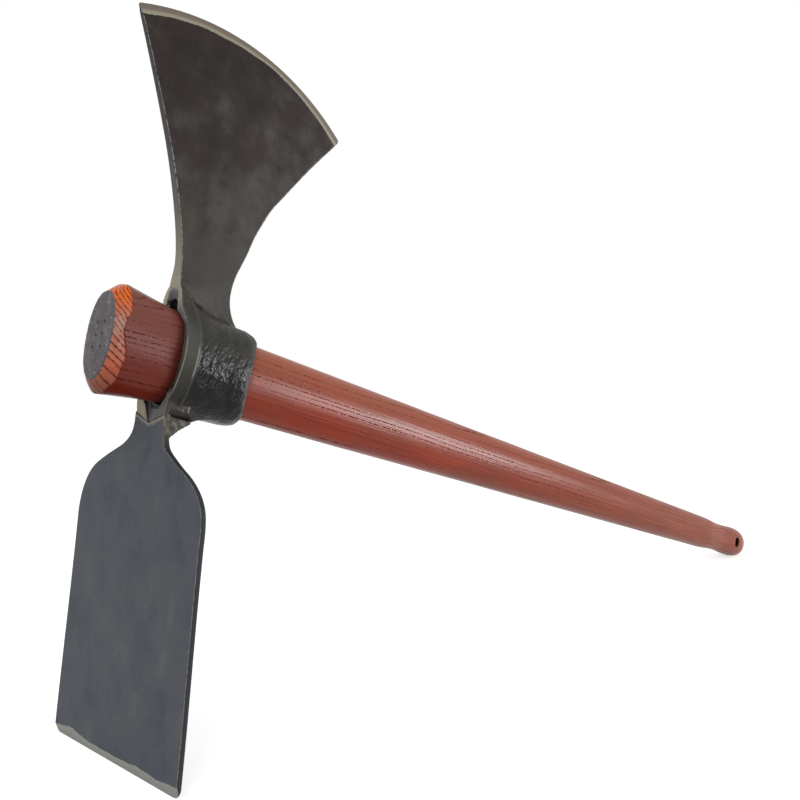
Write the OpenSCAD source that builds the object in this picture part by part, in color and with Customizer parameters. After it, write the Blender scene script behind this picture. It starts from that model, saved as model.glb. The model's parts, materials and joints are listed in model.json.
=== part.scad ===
// Mattock with a fan-shaped axe, a wide adze and a slip-fit wooden handle.
//
// The pieces are drawn in the tool's own axes: X runs along the handle from the cap end to the
// knob, Z runs up through the axe and Y goes across. The finished tool is then set down on the
// cutting edge of the adze and on the knob, the way it stands on a floor. Millimetres throughout.

/* [Handle] */
// Length from the flat cap end to the tip of the knob
handle_len = 900; // [760:10:1000]
// How far the cap end stands out in front of the reference plane of the head
cap_reach = 30.5; // [26:0.5:50]
// Height of the flat on the cap end
cap_flat_h = 47; // [40:1:52]
// Width of the flat on the cap end
cap_flat_w = 24.4; // [20:0.2:30]
// Height of the handle at the foot of the cap chamfer
cap_h = 59.4; // [56:0.2:66]
// Width of the handle at the foot of the cap chamfer
cap_w = 34; // [32:1:38]
// Length of the cap chamfer along the handle
chamfer_len = 6; // [4:0.5:10]
// Height of the handle where the flare has run out
shaft_h = 44.6; // [42:0.2:48]
// Width of the handle where the flare has run out
shaft_w = 28; // [27.6:0.2:31]
// Distance from the reference plane of the head to the end of the flare
flare_end = 72; // [66:1:110]
// Height of the handle at the far end of the grip
grip_h = 34.2; // [34:0.2:40]
// Width of the handle at the far end of the grip
grip_w = 27; // [26.8:0.2:27.4]
// Height at the bottom of the groove before the knob
groove_h = 31; // [27:0.5:32]
// Width at the bottom of the groove before the knob
groove_w = 24.6; // [22:0.2:25]
// Length of the run-in from the grip to the groove
groove_len = 14; // [10:1:20]
// Length of the knob
knob_len = 80; // [66:1:90]
// Height of the knob
knob_h = 33.6; // [32.6:0.2:34]
// Width of the knob
knob_w = 26.6; // [26:0.2:26.8]
// Squareness of the handle's oval, where 2 is a true ellipse
handle_power = 2.2; // [2:0.05:2.6]
// Diameter of the lanyard hole across the knob
lanyard_d = 11; // [6:0.5:13]
// Distance from the tip of the knob to the lanyard hole
lanyard_in = 42; // [36:1:46]

/* [End seal] */
// Thickness of the sealing coat on the cap end
seal_t = 0.8; // [0.6:0.1:2]
// Diameter of the marks left by the drive centre
dent_d = 1.6; // [1:0.1:2.4]
// Depth of these marks
dent_deep = 0.4; // [0.2:0.05:0.5]
// Spacing of the marks across the end
dent_pitch_y = 5; // [4:0.5:7]
// Spacing of the marks up the end
dent_pitch_z = 6.5; // [4:0.5:9]

/* [Eye] */
// Gap between the handle and the eye
eye_clear = 0.3; // [0.2:0.05:0.4]
// Distance from the reference plane to the front of the cheeks
eye_front = 8; // [5:0.5:9]
// Height of the upper fork's tip above the handle's axis
fork_tip = 44; // [41:1:47]
// Thickness of the cheeks at their front edge
cheek_wall = 3.5; // [2.5:0.1:4]
// Thickness of the collar
collar_wall = 5.6; // [4.6:0.1:6.6]
// Distance from the reference plane to the collar's rear rim at the sides
collar_side = 56; // [50:1:60]
// Distance from the reference plane to the collar's rear rim above and below
collar_end = 64; // [61:1:72]
// Distance along the collar from the front edge to the forged crease
crease_in = 7; // [6:0.5:9]
// Height of the forged crease
crease_h = 0.7; // [0.3:0.1:1]
// Length of the collar's rounded rear lip
lip_len = 10; // [6:0.5:12]
// Distance from the handle's axis to the end of the slit on the axe side
axe_slit_tip = 32.6; // [31:0.2:34]
// Radius at the end of the slit on the axe side
axe_slit_r = 2.6; // [2:0.1:3.4]
// Distance from the handle's axis to the end of the slit on the adze side
adze_slit_tip = 28.6; // [28:0.2:30]
// Radius at the end of the slit on the adze side
adze_slit_r = 3.4; // [2.5:0.1:4]
// Half angle between the sides of the slits, in degrees
slit_flare = 26; // [20:1:32]
// Slope of the slits down into the eye, in degrees
slit_slope = 42; // [36:1:50]
// Distance from the handle's axis to the end of the dish round the slit on the axe side
axe_dish_tip = 37.2; // [36:0.2:38]
// Radius at the end of the dish on the axe side
axe_dish_r = 3.8; // [3:0.1:4.2]
// Half angle between the sides of the dish on the axe side, in degrees
axe_dish_flare = 14; // [8:1:20]
// Radius at the end of the dish on the adze side
adze_dish_r = 1.2; // [1:0.1:2]
// Half angle between the sides of the dish on the adze side, in degrees
adze_dish_flare = 34; // [28:1:38]
// Depth of the dishes at their end
dish_step = 0.9; // [0.5:0.1:1.4]
// Steepness of the dishes' floor, in degrees from the handle's axis
dish_slope = 79; // [74:1:82]

/* [Axe] */
// Distance from the reference plane to the middle of the axe's neck
axe_mid = 22; // [20:0.5:23]
// Width of the axe's neck
axe_neck_w = 35; // [33:0.5:38]
// Height of the narrowest place of the neck above the handle's axis
axe_neck_z = 48; // [46:0.5:52]
// Reach of the front horn in front of the reference plane
horn_front = 55; // [45:0.5:62]
// Height of the front horn above the handle's axis
horn_front_z = 173; // [160:0.5:185]
// Reach of the rear horn behind the reference plane
horn_rear = 98; // [85:0.5:105]
// Height of the rear horn above the handle's axis
horn_rear_z = 167; // [160:0.5:180]
// Radius of the curved cutting edge
axe_edge_r = 153; // [120:1:180]
// Slope of the front side at the horn, in degrees from the head's axis
front_slope = 31; // [26:0.5:36]
// Slope of the rear side at the horn, in degrees from the head's axis
rear_slope = 36; // [30:0.5:40]
// Thickness of the axe at its root
axe_root_t = 6.6; // [5.5:0.1:7.5]
// Thickness of the axe behind the ground bevel
axe_edge_t = 2.6; // [2:0.1:3.4]
// Width of the ground bevel
axe_bevel = 4.2; // [3:0.1:7]
// Flat left along the cutting edges
edge_land = 0.3; // [0.2:0.05:0.6]
// Radius of the fillet from the axe's rear side into the collar
axe_fillet_r = 10; // [7:0.5:14]

/* [Adze] */
// Lean of the adze towards the handle, in degrees
adze_lean = 8.6; // [5:0.1:11]
// Distance from the handle's axis to the adze's cutting edge, along the blade
adze_reach = 220; // [190:1:240]
// Width of the adze
adze_w = 118; // [100:1:140]
// Width of the adze's neck
adze_neck_w = 28; // [26:0.5:30]
// Thickness of the blade
adze_t = 3; // [2.4:0.1:3.6]
// Thickness of the neck at the weld
adze_neck_t = 3.9; // [3.6:0.1:4.6]
// Distance along the blade where the neck starts to widen
neck_end = 37; // [35:0.5:40]
// Radius of the hollow between neck and shoulder
neck_r = 18; // [14:0.5:22]
// Radius of the shoulders
shoulder_r = 35; // [28:0.5:38]
// Slope of the shoulders, in degrees from square
shoulder_slope = 29; // [22:0.5:36]
// How far the neck is set back behind the face of the blade
neck_set = 2.6; // [1.5:0.1:3.4]
// Distance along the blade where the bend of the neck ends
bend_end = 58; // [54:0.5:66]
// Width of the ground bevel on the outer face
adze_bevel = 4.6; // [3:0.1:7]
// Radius of the blade's lower corners
corner_r = 3; // [1:0.5:8]
// Distance from the handle's axis to the ends of the weld seam
seam_z = 32.3; // [31.5:0.1:33.5]
// Depth of the V of the weld seam
seam_v = 5; // [4:0.5:6]
// Width of the root under the eye that carries the adze
root_w = 27; // [24:0.5:28]
// Length of the root's straight sides
root_square = 15; // [10:0.5:18]
// Distance from the handle's axis to the upper edge of the bevels under the root
facet_z = 28.6; // [27.5:0.1:30]
// Lean of these bevels, in degrees from the head's axis
facet_lean = 38; // [25:1:45]
// Distance from the front of the cheeks to the start of these bevels
facet_in = 2.5; // [1.5:0.5:4]
// Radius of the hollow behind the neck
root_r = 37; // [32:1:42]
// Width of the weld bead behind the neck
weld_w = 24; // [18:0.5:26]

/* [Hidden] */

// Sides of the ovals, and steps of the curved outlines
oval_sides = 56;
curve_steps = 18;
arc_steps = 10;

// Places along the handle, measured from the reference plane of the head
cap_x = -cap_reach;
tip_x = cap_x + handle_len;
foot_x = cap_x + chamfer_len;
knob_x = tip_x - knob_len;
grip_x = knob_x - groove_len;
hole_x = tip_x - lanyard_in;

function mix(a, b, k) = a + (b - a) * k;
function clamp(k) = min(1, max(0, k));
function ease(k) = clamp(k) * clamp(k) * (3 - 2 * clamp(k));
function signed_pow(v, p) = sign(v) * pow(abs(v), p);

// One oval ring across the handle: height h and width w at x
function oval_ring(x, h, w, power) = [
    for (i = [0:oval_sides - 1])
        let (t = 360 * (i + 0.5) / oval_sides)
        [x, w / 2 * signed_pow(cos(t), 2 / power), h / 2 * signed_pow(sin(t), 2 / power)]
];

// The plain taper of the shaft, with a flare that grows towards the cap end
function taper(x, near, far) = mix(near, far, (x - flare_end) / (grip_x - flare_end));
function flared(x, cap, near, far) =
    taper(x, near, far)
    + (cap - taper(foot_x, near, far)) * pow(clamp((flare_end - x) / (flare_end - foot_x)), 2);
function shaft_height(x) = flared(x, cap_h, shaft_h, grip_h);
function shaft_width(x) = flared(x, cap_w, shaft_w, grip_w);

// The groove runs in from the grip in a smooth curve, and the knob is a half oval past its middle
function bulb(k, groove, knob) =
    k < 0.5
        ? mix(groove, knob, ease(2 * k))
        : knob * sqrt(max(0, 1 - pow(2 * k - 1, 2.4)));

flare_steps = 9;
shaft_steps = 5;
groove_steps = 4;
knob_steps = 18;
knob_last = 0.995;
handle_rings = concat(
    [oval_ring(cap_x, cap_flat_h, cap_flat_w, handle_power)],
    [for (i = [0:flare_steps])
        let (x = mix(foot_x, flare_end, i / flare_steps))
        oval_ring(x, shaft_height(x), shaft_width(x), handle_power)],
    [for (i = [1:shaft_steps])
        let (x = mix(flare_end, grip_x, i / shaft_steps))
        oval_ring(x, shaft_height(x), shaft_width(x), handle_power)],
    [for (i = [1:groove_steps])
        let (k = ease(i / groove_steps))
        oval_ring(mix(grip_x, knob_x, i / groove_steps), mix(grip_h, groove_h, k),
            mix(grip_w, groove_w, k), handle_power)],
    [for (i = [1:knob_steps])
        let (k = knob_last * sin(90 * i / knob_steps))
        oval_ring(mix(knob_x, tip_x, k), bulb(k, groove_h, knob_h), bulb(k, groove_w, knob_w),
            handle_power)]
);

// A solid skin over a row of rings that all have the same number of points
module skin(rings) {
    sides = len(rings[0]);
    last = len(rings) - 1;
    points = concat([for (ring = rings, p = ring) p],
        [[rings[0][0][0], 0, 0], [rings[last][0][0], 0, 0]]);
    first_hub = sides * len(rings);
    faces = concat(
        [for (i = [0:sides - 1]) [first_hub, i, (i + 1) % sides]],
        [for (r = [0:last - 1], i = [0:sides - 1])
            let (a = r * sides + i, b = r * sides + (i + 1) % sides)
            [a, a + sides, b]],
        [for (r = [0:last - 1], i = [0:sides - 1])
            let (a = r * sides + i, b = r * sides + (i + 1) % sides)
            [b, a + sides, b + sides]],
        [for (i = [0:sides - 1])
            [first_hub + 1, last * sides + (i + 1) % sides, last * sides + i]]
    );
    polyhedron(points, faces);
}

// The wooden handle with its chamfered cap end, flare, grip, groove and bored knob
module handle_body() {
    difference() {
        skin(handle_rings);
        translate([hole_x, 0, 0])
            rotate([90, 0, 0])
                cylinder(d = lanyard_d, h = knob_w * 2, center = true, $fn = 48);
    }
}

// The dark coat on the end grain, with the marks of the drive centre
module end_seal_body() {
    outline = [for (p = oval_ring(0, cap_flat_h, cap_flat_w, handle_power)) [p[1], p[2]]];
    difference() {
        translate([cap_x, 0, 0])
            rotate([90, 0, -90])
                linear_extrude(height = seal_t)
                    mirror([1, 0])
                        polygon(outline);
        for (side = [-0.5, 0.5], row = [-1:1])
            translate([cap_x - seal_t, side * dent_pitch_y, row * dent_pitch_z])
                rotate([0, 90, 0])
                    translate([0, 0, -dent_deep])
                        cylinder(d1 = dent_d * 2, d2 = 0, h = dent_deep * 2, $fn = 24);
    }
}

// The sides of the axe's neck, and the foot of its plate inside the collar's wall
axe_front = axe_mid - axe_neck_w / 2;
axe_rear = axe_mid + axe_neck_w / 2;
axe_foot_z = 28;
axe_toe = 10;

// The eye's outer form: a lens with forked ends in front that turns into an oval collar behind
fork_reach = eye_front - axe_front;
seam_tip = seam_z + seam_v;
lens_side = 1.75;
lens_tip = 1.2;
lens_reach = 0.85;
collar_power = 2.15;
lens_part = 0.34;
hole_half = shaft_height(eye_front) / 2 + eye_clear;
crease_part = crease_in / (collar_side - eye_front);
lip_part = 1 - lip_len / (collar_end - eye_front);
crease_half = 0.025;
eye_stations = [0, 0.06, crease_part - crease_half, crease_part, crease_part + crease_half,
    0.22, 0.28, lens_part, 0.45, 0.6, 0.72, lip_part, mix(lip_part, 1, 0.4), mix(lip_part, 1, 0.7),
    mix(lip_part, 1, 0.9), 1];

fork_start = 0.55;
fork_full = 0.88;
function eye_x(k, t) =
    mix(eye_front - fork_reach * ease((sin(t) - fork_start) / (fork_full - fork_start)),
        mix(collar_side, collar_end, pow(sin(t), 2)), k);
function eye_wall(k) =
    mix(cheek_wall, collar_wall, ease(k / crease_part))
    + crease_h * max(0, 1 - abs(k - crease_part) / crease_half)
    - (collar_wall * 0.75) * (1 - sqrt(1 - pow(clamp((k - lip_part) / (1 - lip_part)), 2)));
function eye_rise(k, tip) =
    (tip - hole_half - cheek_wall) * pow(1 - clamp(k / lens_part), 2);
function eye_ring(k) = [
    for (i = [0:oval_sides - 1])
        let (
            t = 360 * (i + 0.5) / oval_sides,
            x = eye_x(k, t),
            lens = mix(lens_side, lens_tip, ease(max(0, sin(t)) / lens_reach)),
            power = mix(lens, collar_power, ease(k / lens_part)),
            tip = sin(t) > 0 ? fork_tip : seam_tip,
            h = shaft_height(x) / 2 + eye_clear + eye_wall(k) + eye_rise(k, tip),
            w = shaft_width(x) / 2 + eye_clear + eye_wall(k)
        )
        [x, w * signed_pow(cos(t), 2 / power), h * signed_pow(sin(t), 2 / power)]
];

// The hole that the handle wedges into
hole_steps = 5;
hole_over = 6;
module eye_hole() {
    front = eye_front - fork_reach - hole_over;
    skin([for (i = [0:hole_steps])
        let (x = mix(front, collar_end + hole_over, i / hole_steps))
        oval_ring(x, shaft_height(x) + 2 * eye_clear, shaft_width(x) + 2 * eye_clear,
            handle_power)]);
}

// The mouth of the eye, where the bar was slit and opened: an arch with spread sides
slit_len = 40;
arch_deep = 16;
function arch(r, flare) =
    let (foot_y = r * cos(flare) + (arch_deep - r) * tan(flare))
    concat(
        [for (i = [0:arc_steps])
            let (t = mix(flare, 180 - flare, i / arc_steps))
            [r * cos(t), r * sin(t) - r]],
        [[-foot_y, -arch_deep], [foot_y, -arch_deep]]
    );

// The slit runs on into the eye, sloping down to the hole
module slit(x, tip, r) {
    translate([x, 0, tip])
        rotate([90, 0, 90])
            rotate([slit_slope, 0, 0])
                linear_extrude(height = slit_len, center = true)
                    polygon(arch(r, slit_flare));
}

// The dish round it is shallow, with a floor that falls gently towards the hole
module dish(x, tip, r, flare) {
    fall = arch_deep / tan(dish_slope);
    intersection() {
        translate([x, 0, tip])
            rotate([90, 0, 90])
                linear_extrude(height = slit_len, center = true)
                    polygon(arch(r, flare));
        translate([x, 0, tip])
            rotate([90, 0, 0])
                linear_extrude(height = slit_len, center = true)
                    polygon([[-slit_len, 0], [dish_step, 0], [dish_step + fall, -arch_deep],
                        [-slit_len, -arch_deep]]);
    }
}

// Outline of the axe from the collar to past its cutting edge, in X and Z
horn_run = 60;
front_run = 22;
rear_run = 30;
fillet_sink = 1;
function collar_half(x) = shaft_height(x) / 2 + eye_clear + collar_wall;
fillet_x = axe_rear + axe_fillet_r;
fillet_z = collar_half(fillet_x) - fillet_sink + axe_fillet_r;
over_edge = 40;
function bezier(a, b, c, d) = [
    for (i = [0:curve_steps])
        let (k = i / curve_steps, m = 1 - k)
        m * m * m * a + 3 * m * m * k * b + 3 * m * k * k * c + k * k * k * d
];
front_horn = [-horn_front, horn_front_z];
rear_horn = [horn_rear, horn_rear_z];
front_dir = [sin(front_slope), -cos(front_slope)];
rear_dir = [-sin(rear_slope), -cos(rear_slope)];
axe_outline = concat(
    [front_horn - over_edge * front_dir],
    bezier(front_horn, front_horn + horn_run * front_dir,
        [axe_front, axe_neck_z + front_run], [axe_front, axe_neck_z]),
    [[axe_front, axe_foot_z + axe_toe], [axe_front + axe_toe, axe_foot_z],
        [axe_rear, collar_half(fillet_x) - 2 * fillet_sink],
        [fillet_x, collar_half(fillet_x) - 2 * fillet_sink]],
    [for (i = [arc_steps:-1:0])
        let (t = 90 * i / arc_steps)
        [fillet_x - axe_fillet_r * cos(t), fillet_z - axe_fillet_r * sin(t)]],
    bezier([axe_rear, axe_neck_z], [axe_rear, axe_neck_z + rear_run],
        rear_horn + horn_run * rear_dir, rear_horn),
    [rear_horn - over_edge * rear_dir]
);

// The cutting edge is an arc through both horns, and its centre lies on the chord's bisector
chord = rear_horn - front_horn;
chord_half = norm(chord) / 2;
chord_mid = (front_horn + rear_horn) / 2;
chord_up = [-chord[1], chord[0]] / norm(chord);
edge_centre = chord_mid - sqrt(axe_edge_r * axe_edge_r - chord_half * chord_half) * chord_up;
bevel_rise = axe_bevel / (axe_edge_t - edge_land) * 2;
cone_half = axe_root_t;

module axe_plate() {
    intersection() {
        rotate([90, 0, 0])
            linear_extrude(height = 2 * axe_root_t, center = true)
                polygon(axe_outline);
        rotate([90, 0, 90])
            linear_extrude(height = 4 * axe_edge_r, center = true)
                polygon([
                    [-axe_root_t / 2, axe_foot_z], [axe_root_t / 2, axe_foot_z],
                    [axe_root_t / 2, axe_neck_z], [axe_edge_t / 2, horn_rear_z],
                    [axe_edge_t / 2, horn_front_z + over_edge],
                    [-axe_edge_t / 2, horn_front_z + over_edge],
                    [-axe_edge_t / 2, horn_rear_z], [-axe_root_t / 2, axe_neck_z]
                ]);
        translate([edge_centre[0], 0, edge_centre[1]])
            for (side = [-90, 90])
                rotate([side, 0, 0])
                    translate([0, 0, -edge_land / 2])
                        cylinder(h = cone_half, r1 = axe_edge_r + bevel_rise * edge_land / 2,
                            r2 = axe_edge_r - bevel_rise * (cone_half - edge_land), $fn = 180);
    }
}

// The scarf between the socket's fork and the axe plate slopes down from front to rear
scarf_front_z = axe_neck_z - 2;
scarf_rear_z = collar_half(fillet_x);
scarf_over = 20;
module above_scarf() {
    slope = (scarf_rear_z - scarf_front_z) / (fillet_x - axe_front);
    rotate([90, 0, 0])
        linear_extrude(height = 4 * axe_root_t, center = true)
            polygon([
                [axe_front - 4 * scarf_over, scarf_front_z - slope * 4 * scarf_over],
                [fillet_x + 4 * scarf_over, scarf_rear_z + slope * 4 * scarf_over],
                [fillet_x + 4 * scarf_over, 2 * horn_front_z],
                [axe_front - 4 * scarf_over, 2 * horn_front_z]
            ]);
}

// Frame of the adze blade: its outer face is the plane x = 0 and it runs down along -Z
module adze_frame() {
    rotate([0, -adze_lean, 0]) children();
}

// Half outline of the adze, from the neck round the shoulder to the lower corner
turn = 90 - shoulder_slope;
neck_half = adze_neck_w / 2;
hollow_end = [neck_half + neck_r * (1 - cos(turn)), neck_end + neck_r * sin(turn)];
round_start_y = adze_w / 2 - shoulder_r * (1 - cos(turn));
round_start = [round_start_y, hollow_end[1] + (round_start_y - hollow_end[0]) * tan(shoulder_slope)];
round_s = round_start[1] + shoulder_r * sin(turn);
adze_half = concat(
    [[neck_half, 0]],
    [for (i = [0:arc_steps])
        let (t = turn * i / arc_steps)
        [neck_half + neck_r * (1 - cos(t)), neck_end + neck_r * sin(t)]],
    [for (i = [0:arc_steps])
        let (t = turn * (1 - i / arc_steps))
        [adze_w / 2 - shoulder_r * (1 - cos(t)), round_s - shoulder_r * sin(t)]],
    [for (i = [0:arc_steps])
        let (t = 90 * i / arc_steps)
        [adze_w / 2 - corner_r * (1 - cos(t)), adze_reach - corner_r * (1 - sin(t))]]
);
adze_outline = concat(
    [for (p = adze_half) [p[0], -p[1]]],
    [for (i = [len(adze_half) - 1:-1:0]) [-adze_half[i][0], -adze_half[i][1]]]
);

// Side view of the blade: set back at the neck, bent to the flat blade, ground on the outer face
neck_flat = 46;
adze_profile = [
    [neck_set, 0], [neck_set, -neck_flat], [0, -bend_end], [0, adze_bevel - adze_reach],
    [adze_t - edge_land, -adze_reach], [adze_t, -adze_reach], [adze_t, -round_s],
    [adze_t, -bend_end], [neck_set + adze_neck_t, -neck_flat], [neck_set + adze_neck_t, 0]
];

// Everything below the V of the seam between the root of the eye and the adze
seam_over = 200;
module below_seam() {
    slope = seam_v / neck_half;
    rotate([90, 0, 90])
        linear_extrude(height = 2 * seam_over, center = true)
            polygon([
                [-seam_over, -seam_z + slope * (seam_over - neck_half)], [0, -seam_z - seam_v],
                [seam_over, -seam_z + slope * (seam_over - neck_half)],
                [seam_over, -2 * adze_reach], [-seam_over, -2 * adze_reach]
            ]);
}

// The hollow behind the neck, shared by the root of the eye and the weld bead
root_front = eye_front;
root_back = 44;
root_back_w = 8;
root_sink = 0.5;
root_top = -hole_half / 2;
root_centre = [root_back, root_sink - collar_half(root_back) - root_r];
module root_hollow() {
    translate([root_centre[0], 0, root_centre[1]])
        rotate([90, 0, 0])
            cylinder(r = root_r, h = 2 * adze_w, center = true, $fn = 96);
}

// The keel under the eye that carries the adze, wide in front and narrow behind
module adze_root() {
    difference() {
        translate([0, 0, root_top - adze_w])
            linear_extrude(height = adze_w)
                polygon([
                    [root_front, -root_w / 2], [root_front + root_square, -root_w / 2],
                    [root_back, -root_back_w / 2], [root_back, root_back_w / 2],
                    [root_front + root_square, root_w / 2], [root_front, root_w / 2]
                ]);
        root_hollow();
        below_seam();
        for (side = [0, 1])
            mirror([0, side, 0])
                translate([root_front + facet_in, root_w / 2, -facet_z])
                    rotate([-facet_lean, 0, 0])
                        translate([0, 0, -adze_w])
                            cube([adze_w, adze_w, adze_w]);
    }
}

// The forged eye: cheeks, forks, collar and the roots of both blades
module eye_body() {
    difference() {
        union() {
            skin([for (k = eye_stations) eye_ring(k)]);
            difference() {
                axe_plate();
                above_scarf();
            }
            adze_root();
        }
        eye_hole();
        slit(axe_front, axe_slit_tip, axe_slit_r);
        dish(axe_front, axe_dish_tip, axe_dish_r, axe_dish_flare);
        mirror([0, 0, 1]) {
            slit(eye_front, adze_slit_tip, adze_slit_r);
            dish(eye_front, seam_tip, adze_dish_r, adze_dish_flare);
        }
        below_seam();
    }
}

module axe_body() {
    difference() {
        intersection() {
            axe_plate();
            above_scarf();
        }
        skin([for (k = eye_stations) eye_ring(k)]);
    }
}

module adze_body() {
    intersection() {
        adze_frame()
            intersection() {
                rotate([90, 0, 90])
                    linear_extrude(height = 4 * adze_neck_t, center = true)
                        polygon(adze_outline);
                rotate([90, 0, 0])
                    linear_extrude(height = 2 * adze_w, center = true)
                        polygon(adze_profile);
            }
        below_seam();
    }
}

// The bead in the corner between the back of the neck and the root of the eye
module weld_body() {
    difference() {
        intersection() {
            adze_frame()
                translate([neck_set + adze_neck_t, -weld_w / 2, -neck_flat])
                    cube([root_back, weld_w, neck_flat]);
            below_seam();
        }
        root_hollow();
        translate([root_centre[0], -adze_w, -2 * adze_reach])
            cube([root_back, 2 * adze_w, 2 * adze_reach]);
    }
}

// The standing pose: the adze's edge and the knob both touch the floor
edge_x = adze_reach * sin(adze_lean) + adze_t * cos(adze_lean);
edge_z = -adze_reach * cos(adze_lean) + adze_t * sin(adze_lean);
knob_mid = (knob_x + tip_x) / 2;
foot_span = norm([knob_mid - edge_x, edge_z]);
foot_angle = atan2(knob_mid - edge_x, -edge_z);
knob_parts = [for (i = [0:knob_steps]) knob_last * sin(90 * i / knob_steps)];
function knob_reach(a) = max([for (k = knob_parts)
    (mix(knob_x, tip_x, k) - knob_mid) * cos(a) + bulb(k, groove_h, knob_h) / 2 * sin(a)]);
function knob_support(a) = knob_reach(90 - a);
function settle(a, rounds) =
    rounds == 0 ? a : settle(acos(knob_support(a) / foot_span) - foot_angle, rounds - 1);
tilt = settle(12, 8);

// The box of the standing tool gives the origin under its middle
function stand_x(x, z) = x * cos(tilt) + z * sin(tilt);
function stand_z(x, z) = z * cos(tilt) - x * sin(tilt);
low_x = min(stand_x(cap_x - seal_t, -cap_flat_h / 2), stand_x(foot_x, -cap_h / 2));
high_x = stand_x(knob_mid, 0) + knob_reach(tilt);
floor_z = stand_z(edge_x, edge_z);

module stand() {
    translate([-(low_x + high_x) / 2, 0, -floor_z])
        rotate([0, tilt, 0])
            children();
}

module handle() {
    color("#8a3b24") stand() handle_body();
}

module end_seal() {
    color("#3a3a3e") stand() end_seal_body();
}

module eye_socket() {
    color("#26272a") stand() eye_body();
}

module axe_blade() {
    color("#34332f") stand() axe_body();
}

module adze_blade() {
    color("#4c5058") stand() adze_body();
}

module adze_weld() {
    color("#75716a") stand() weld_body();
}

handle();
end_seal();
eye_socket();
axe_blade();
adze_blade();
adze_weld();
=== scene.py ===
# %% [markdown]
# # A mattock on a slip-fit handle
# A mattock is a digging tool with two blades on one eye: here a fan-shaped axe and a wide adze. The
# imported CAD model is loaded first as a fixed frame. Each solid is then dressed with a finer piece of
# the same shape, because forged steel and hand-shaved wood have soft edges, hammer marks and
# waviness that plain solids don't show.

# %% Load the frame
import json
import math
from functools import partial

import bmesh
import bpy
import numpy as np
from mathutils import Matrix, Vector, noise


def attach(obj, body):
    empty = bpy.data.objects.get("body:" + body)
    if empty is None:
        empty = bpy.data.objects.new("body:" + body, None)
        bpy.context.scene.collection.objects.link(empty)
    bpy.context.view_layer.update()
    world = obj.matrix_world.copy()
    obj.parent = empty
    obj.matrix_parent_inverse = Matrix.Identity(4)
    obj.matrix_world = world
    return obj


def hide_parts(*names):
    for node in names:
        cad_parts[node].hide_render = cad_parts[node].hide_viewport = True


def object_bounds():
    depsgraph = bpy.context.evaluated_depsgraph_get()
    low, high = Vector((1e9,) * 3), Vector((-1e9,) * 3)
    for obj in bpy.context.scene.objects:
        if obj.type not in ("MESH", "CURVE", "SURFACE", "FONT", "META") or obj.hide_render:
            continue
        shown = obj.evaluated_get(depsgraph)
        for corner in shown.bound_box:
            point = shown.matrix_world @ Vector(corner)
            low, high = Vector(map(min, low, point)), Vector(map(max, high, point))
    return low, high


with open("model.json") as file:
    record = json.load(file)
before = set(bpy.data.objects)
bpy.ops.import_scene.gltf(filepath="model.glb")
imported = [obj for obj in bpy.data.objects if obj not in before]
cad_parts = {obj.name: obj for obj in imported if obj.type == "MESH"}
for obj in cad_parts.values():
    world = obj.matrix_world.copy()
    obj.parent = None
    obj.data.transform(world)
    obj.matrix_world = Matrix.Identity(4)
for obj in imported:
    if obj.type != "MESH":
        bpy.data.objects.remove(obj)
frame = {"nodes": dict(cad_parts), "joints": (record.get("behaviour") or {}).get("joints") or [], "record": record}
cad_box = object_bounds()
print("CAD nodes:", sorted(frame["nodes"]))

# %% [markdown]
# ## The tool's own axes
# The tool leans: it stands on the adze's edge and on the knob. It is easier to shape it upright, with
# X along the handle, Z up through the axe and Y across, and to set every piece down with one matrix.
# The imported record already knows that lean: the head slides along the handle's axis, and the lanyard
# hole marks a place on it. All sizes below are in millimetres in these axes.

# %% The matrix that sets a piece down
MM = 0.001
HANDLE_LEN, CAP_X, LANYARD_IN = 900.0, -30.5, 42.0
TIP_X = CAP_X + HANDLE_LEN
LANYARD_X = TIP_X - LANYARD_IN

along = Vector(frame["joints"][0]["axis"]).normalized()
across = Vector((0, 1, 0))
lanyard_at = Vector(frame["record"]["mounts"][0]["pos_m"])
stand = Matrix((along, across, along.cross(across))).transposed().to_4x4()
stand.translation = lanyard_at - LANYARD_X * MM * along
lean = math.asin(-along.z)
print("lean of the handle:", round(math.degrees(lean), 2), "degrees")

# %% [markdown]
# ## Camera
# The photograph was taken close to the head with a normal lens, a little from the cap side, so the
# handle runs away from the viewer. The place, the aim and the small roll were worked out by fitting a
# pinhole camera to the blade's parallel sides, the handle's taper and the end face.

# %% Camera
CAMERA_AT = Vector((-0.6767, -0.4237, 0.2120))
CAMERA_AIM = Vector((-0.1547, 0.0422, 0.1907))
CAMERA_ROLL = math.radians(1.641)
LENS_MM, SENSOR_MM = 40.5, 36.0


def new_object(name, data):
    """A new object, linked into the scene."""
    made = bpy.data.objects.new(name, data)
    bpy.context.scene.collection.objects.link(made)
    return made


look = (CAMERA_AIM - CAMERA_AT).normalized()
level = look.cross(Vector((0, 0, 1))).normalized()
head_up = level.cross(look)
right = level * math.cos(CAMERA_ROLL) + head_up * math.sin(CAMERA_ROLL)
camera_data = bpy.data.cameras.new("camera")
camera_data.lens, camera_data.sensor_width = LENS_MM, SENSOR_MM
camera_data.clip_start, camera_data.clip_end = 0.01, 50
camera = new_object("camera", camera_data)
camera.matrix_world = Matrix((right, right.cross(look), -look)).transposed().to_4x4()
camera.matrix_world.translation = CAMERA_AT
bpy.context.scene.camera = camera
bpy.context.scene.view_settings.view_transform = "Standard"
print("camera stands", round((CAMERA_AIM - CAMERA_AT).length, 2), "m from its aim")

# %% [markdown]
# ## Helpers for materials
# Colours are easiest to read as sRGB hex, as in any paint program, but Blender's sockets want linear
# light, so one function turns one into the other. Another one adds a node, feeds it and gives back one
# of its outputs, which keeps every material below to a list of steps. Sockets are fed in order or by
# key: a map range takes a value, the span it comes from and the span it goes to, and a mix lays colour
# 7 over colour 6 by the share 0.

# %% Material helpers


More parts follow.
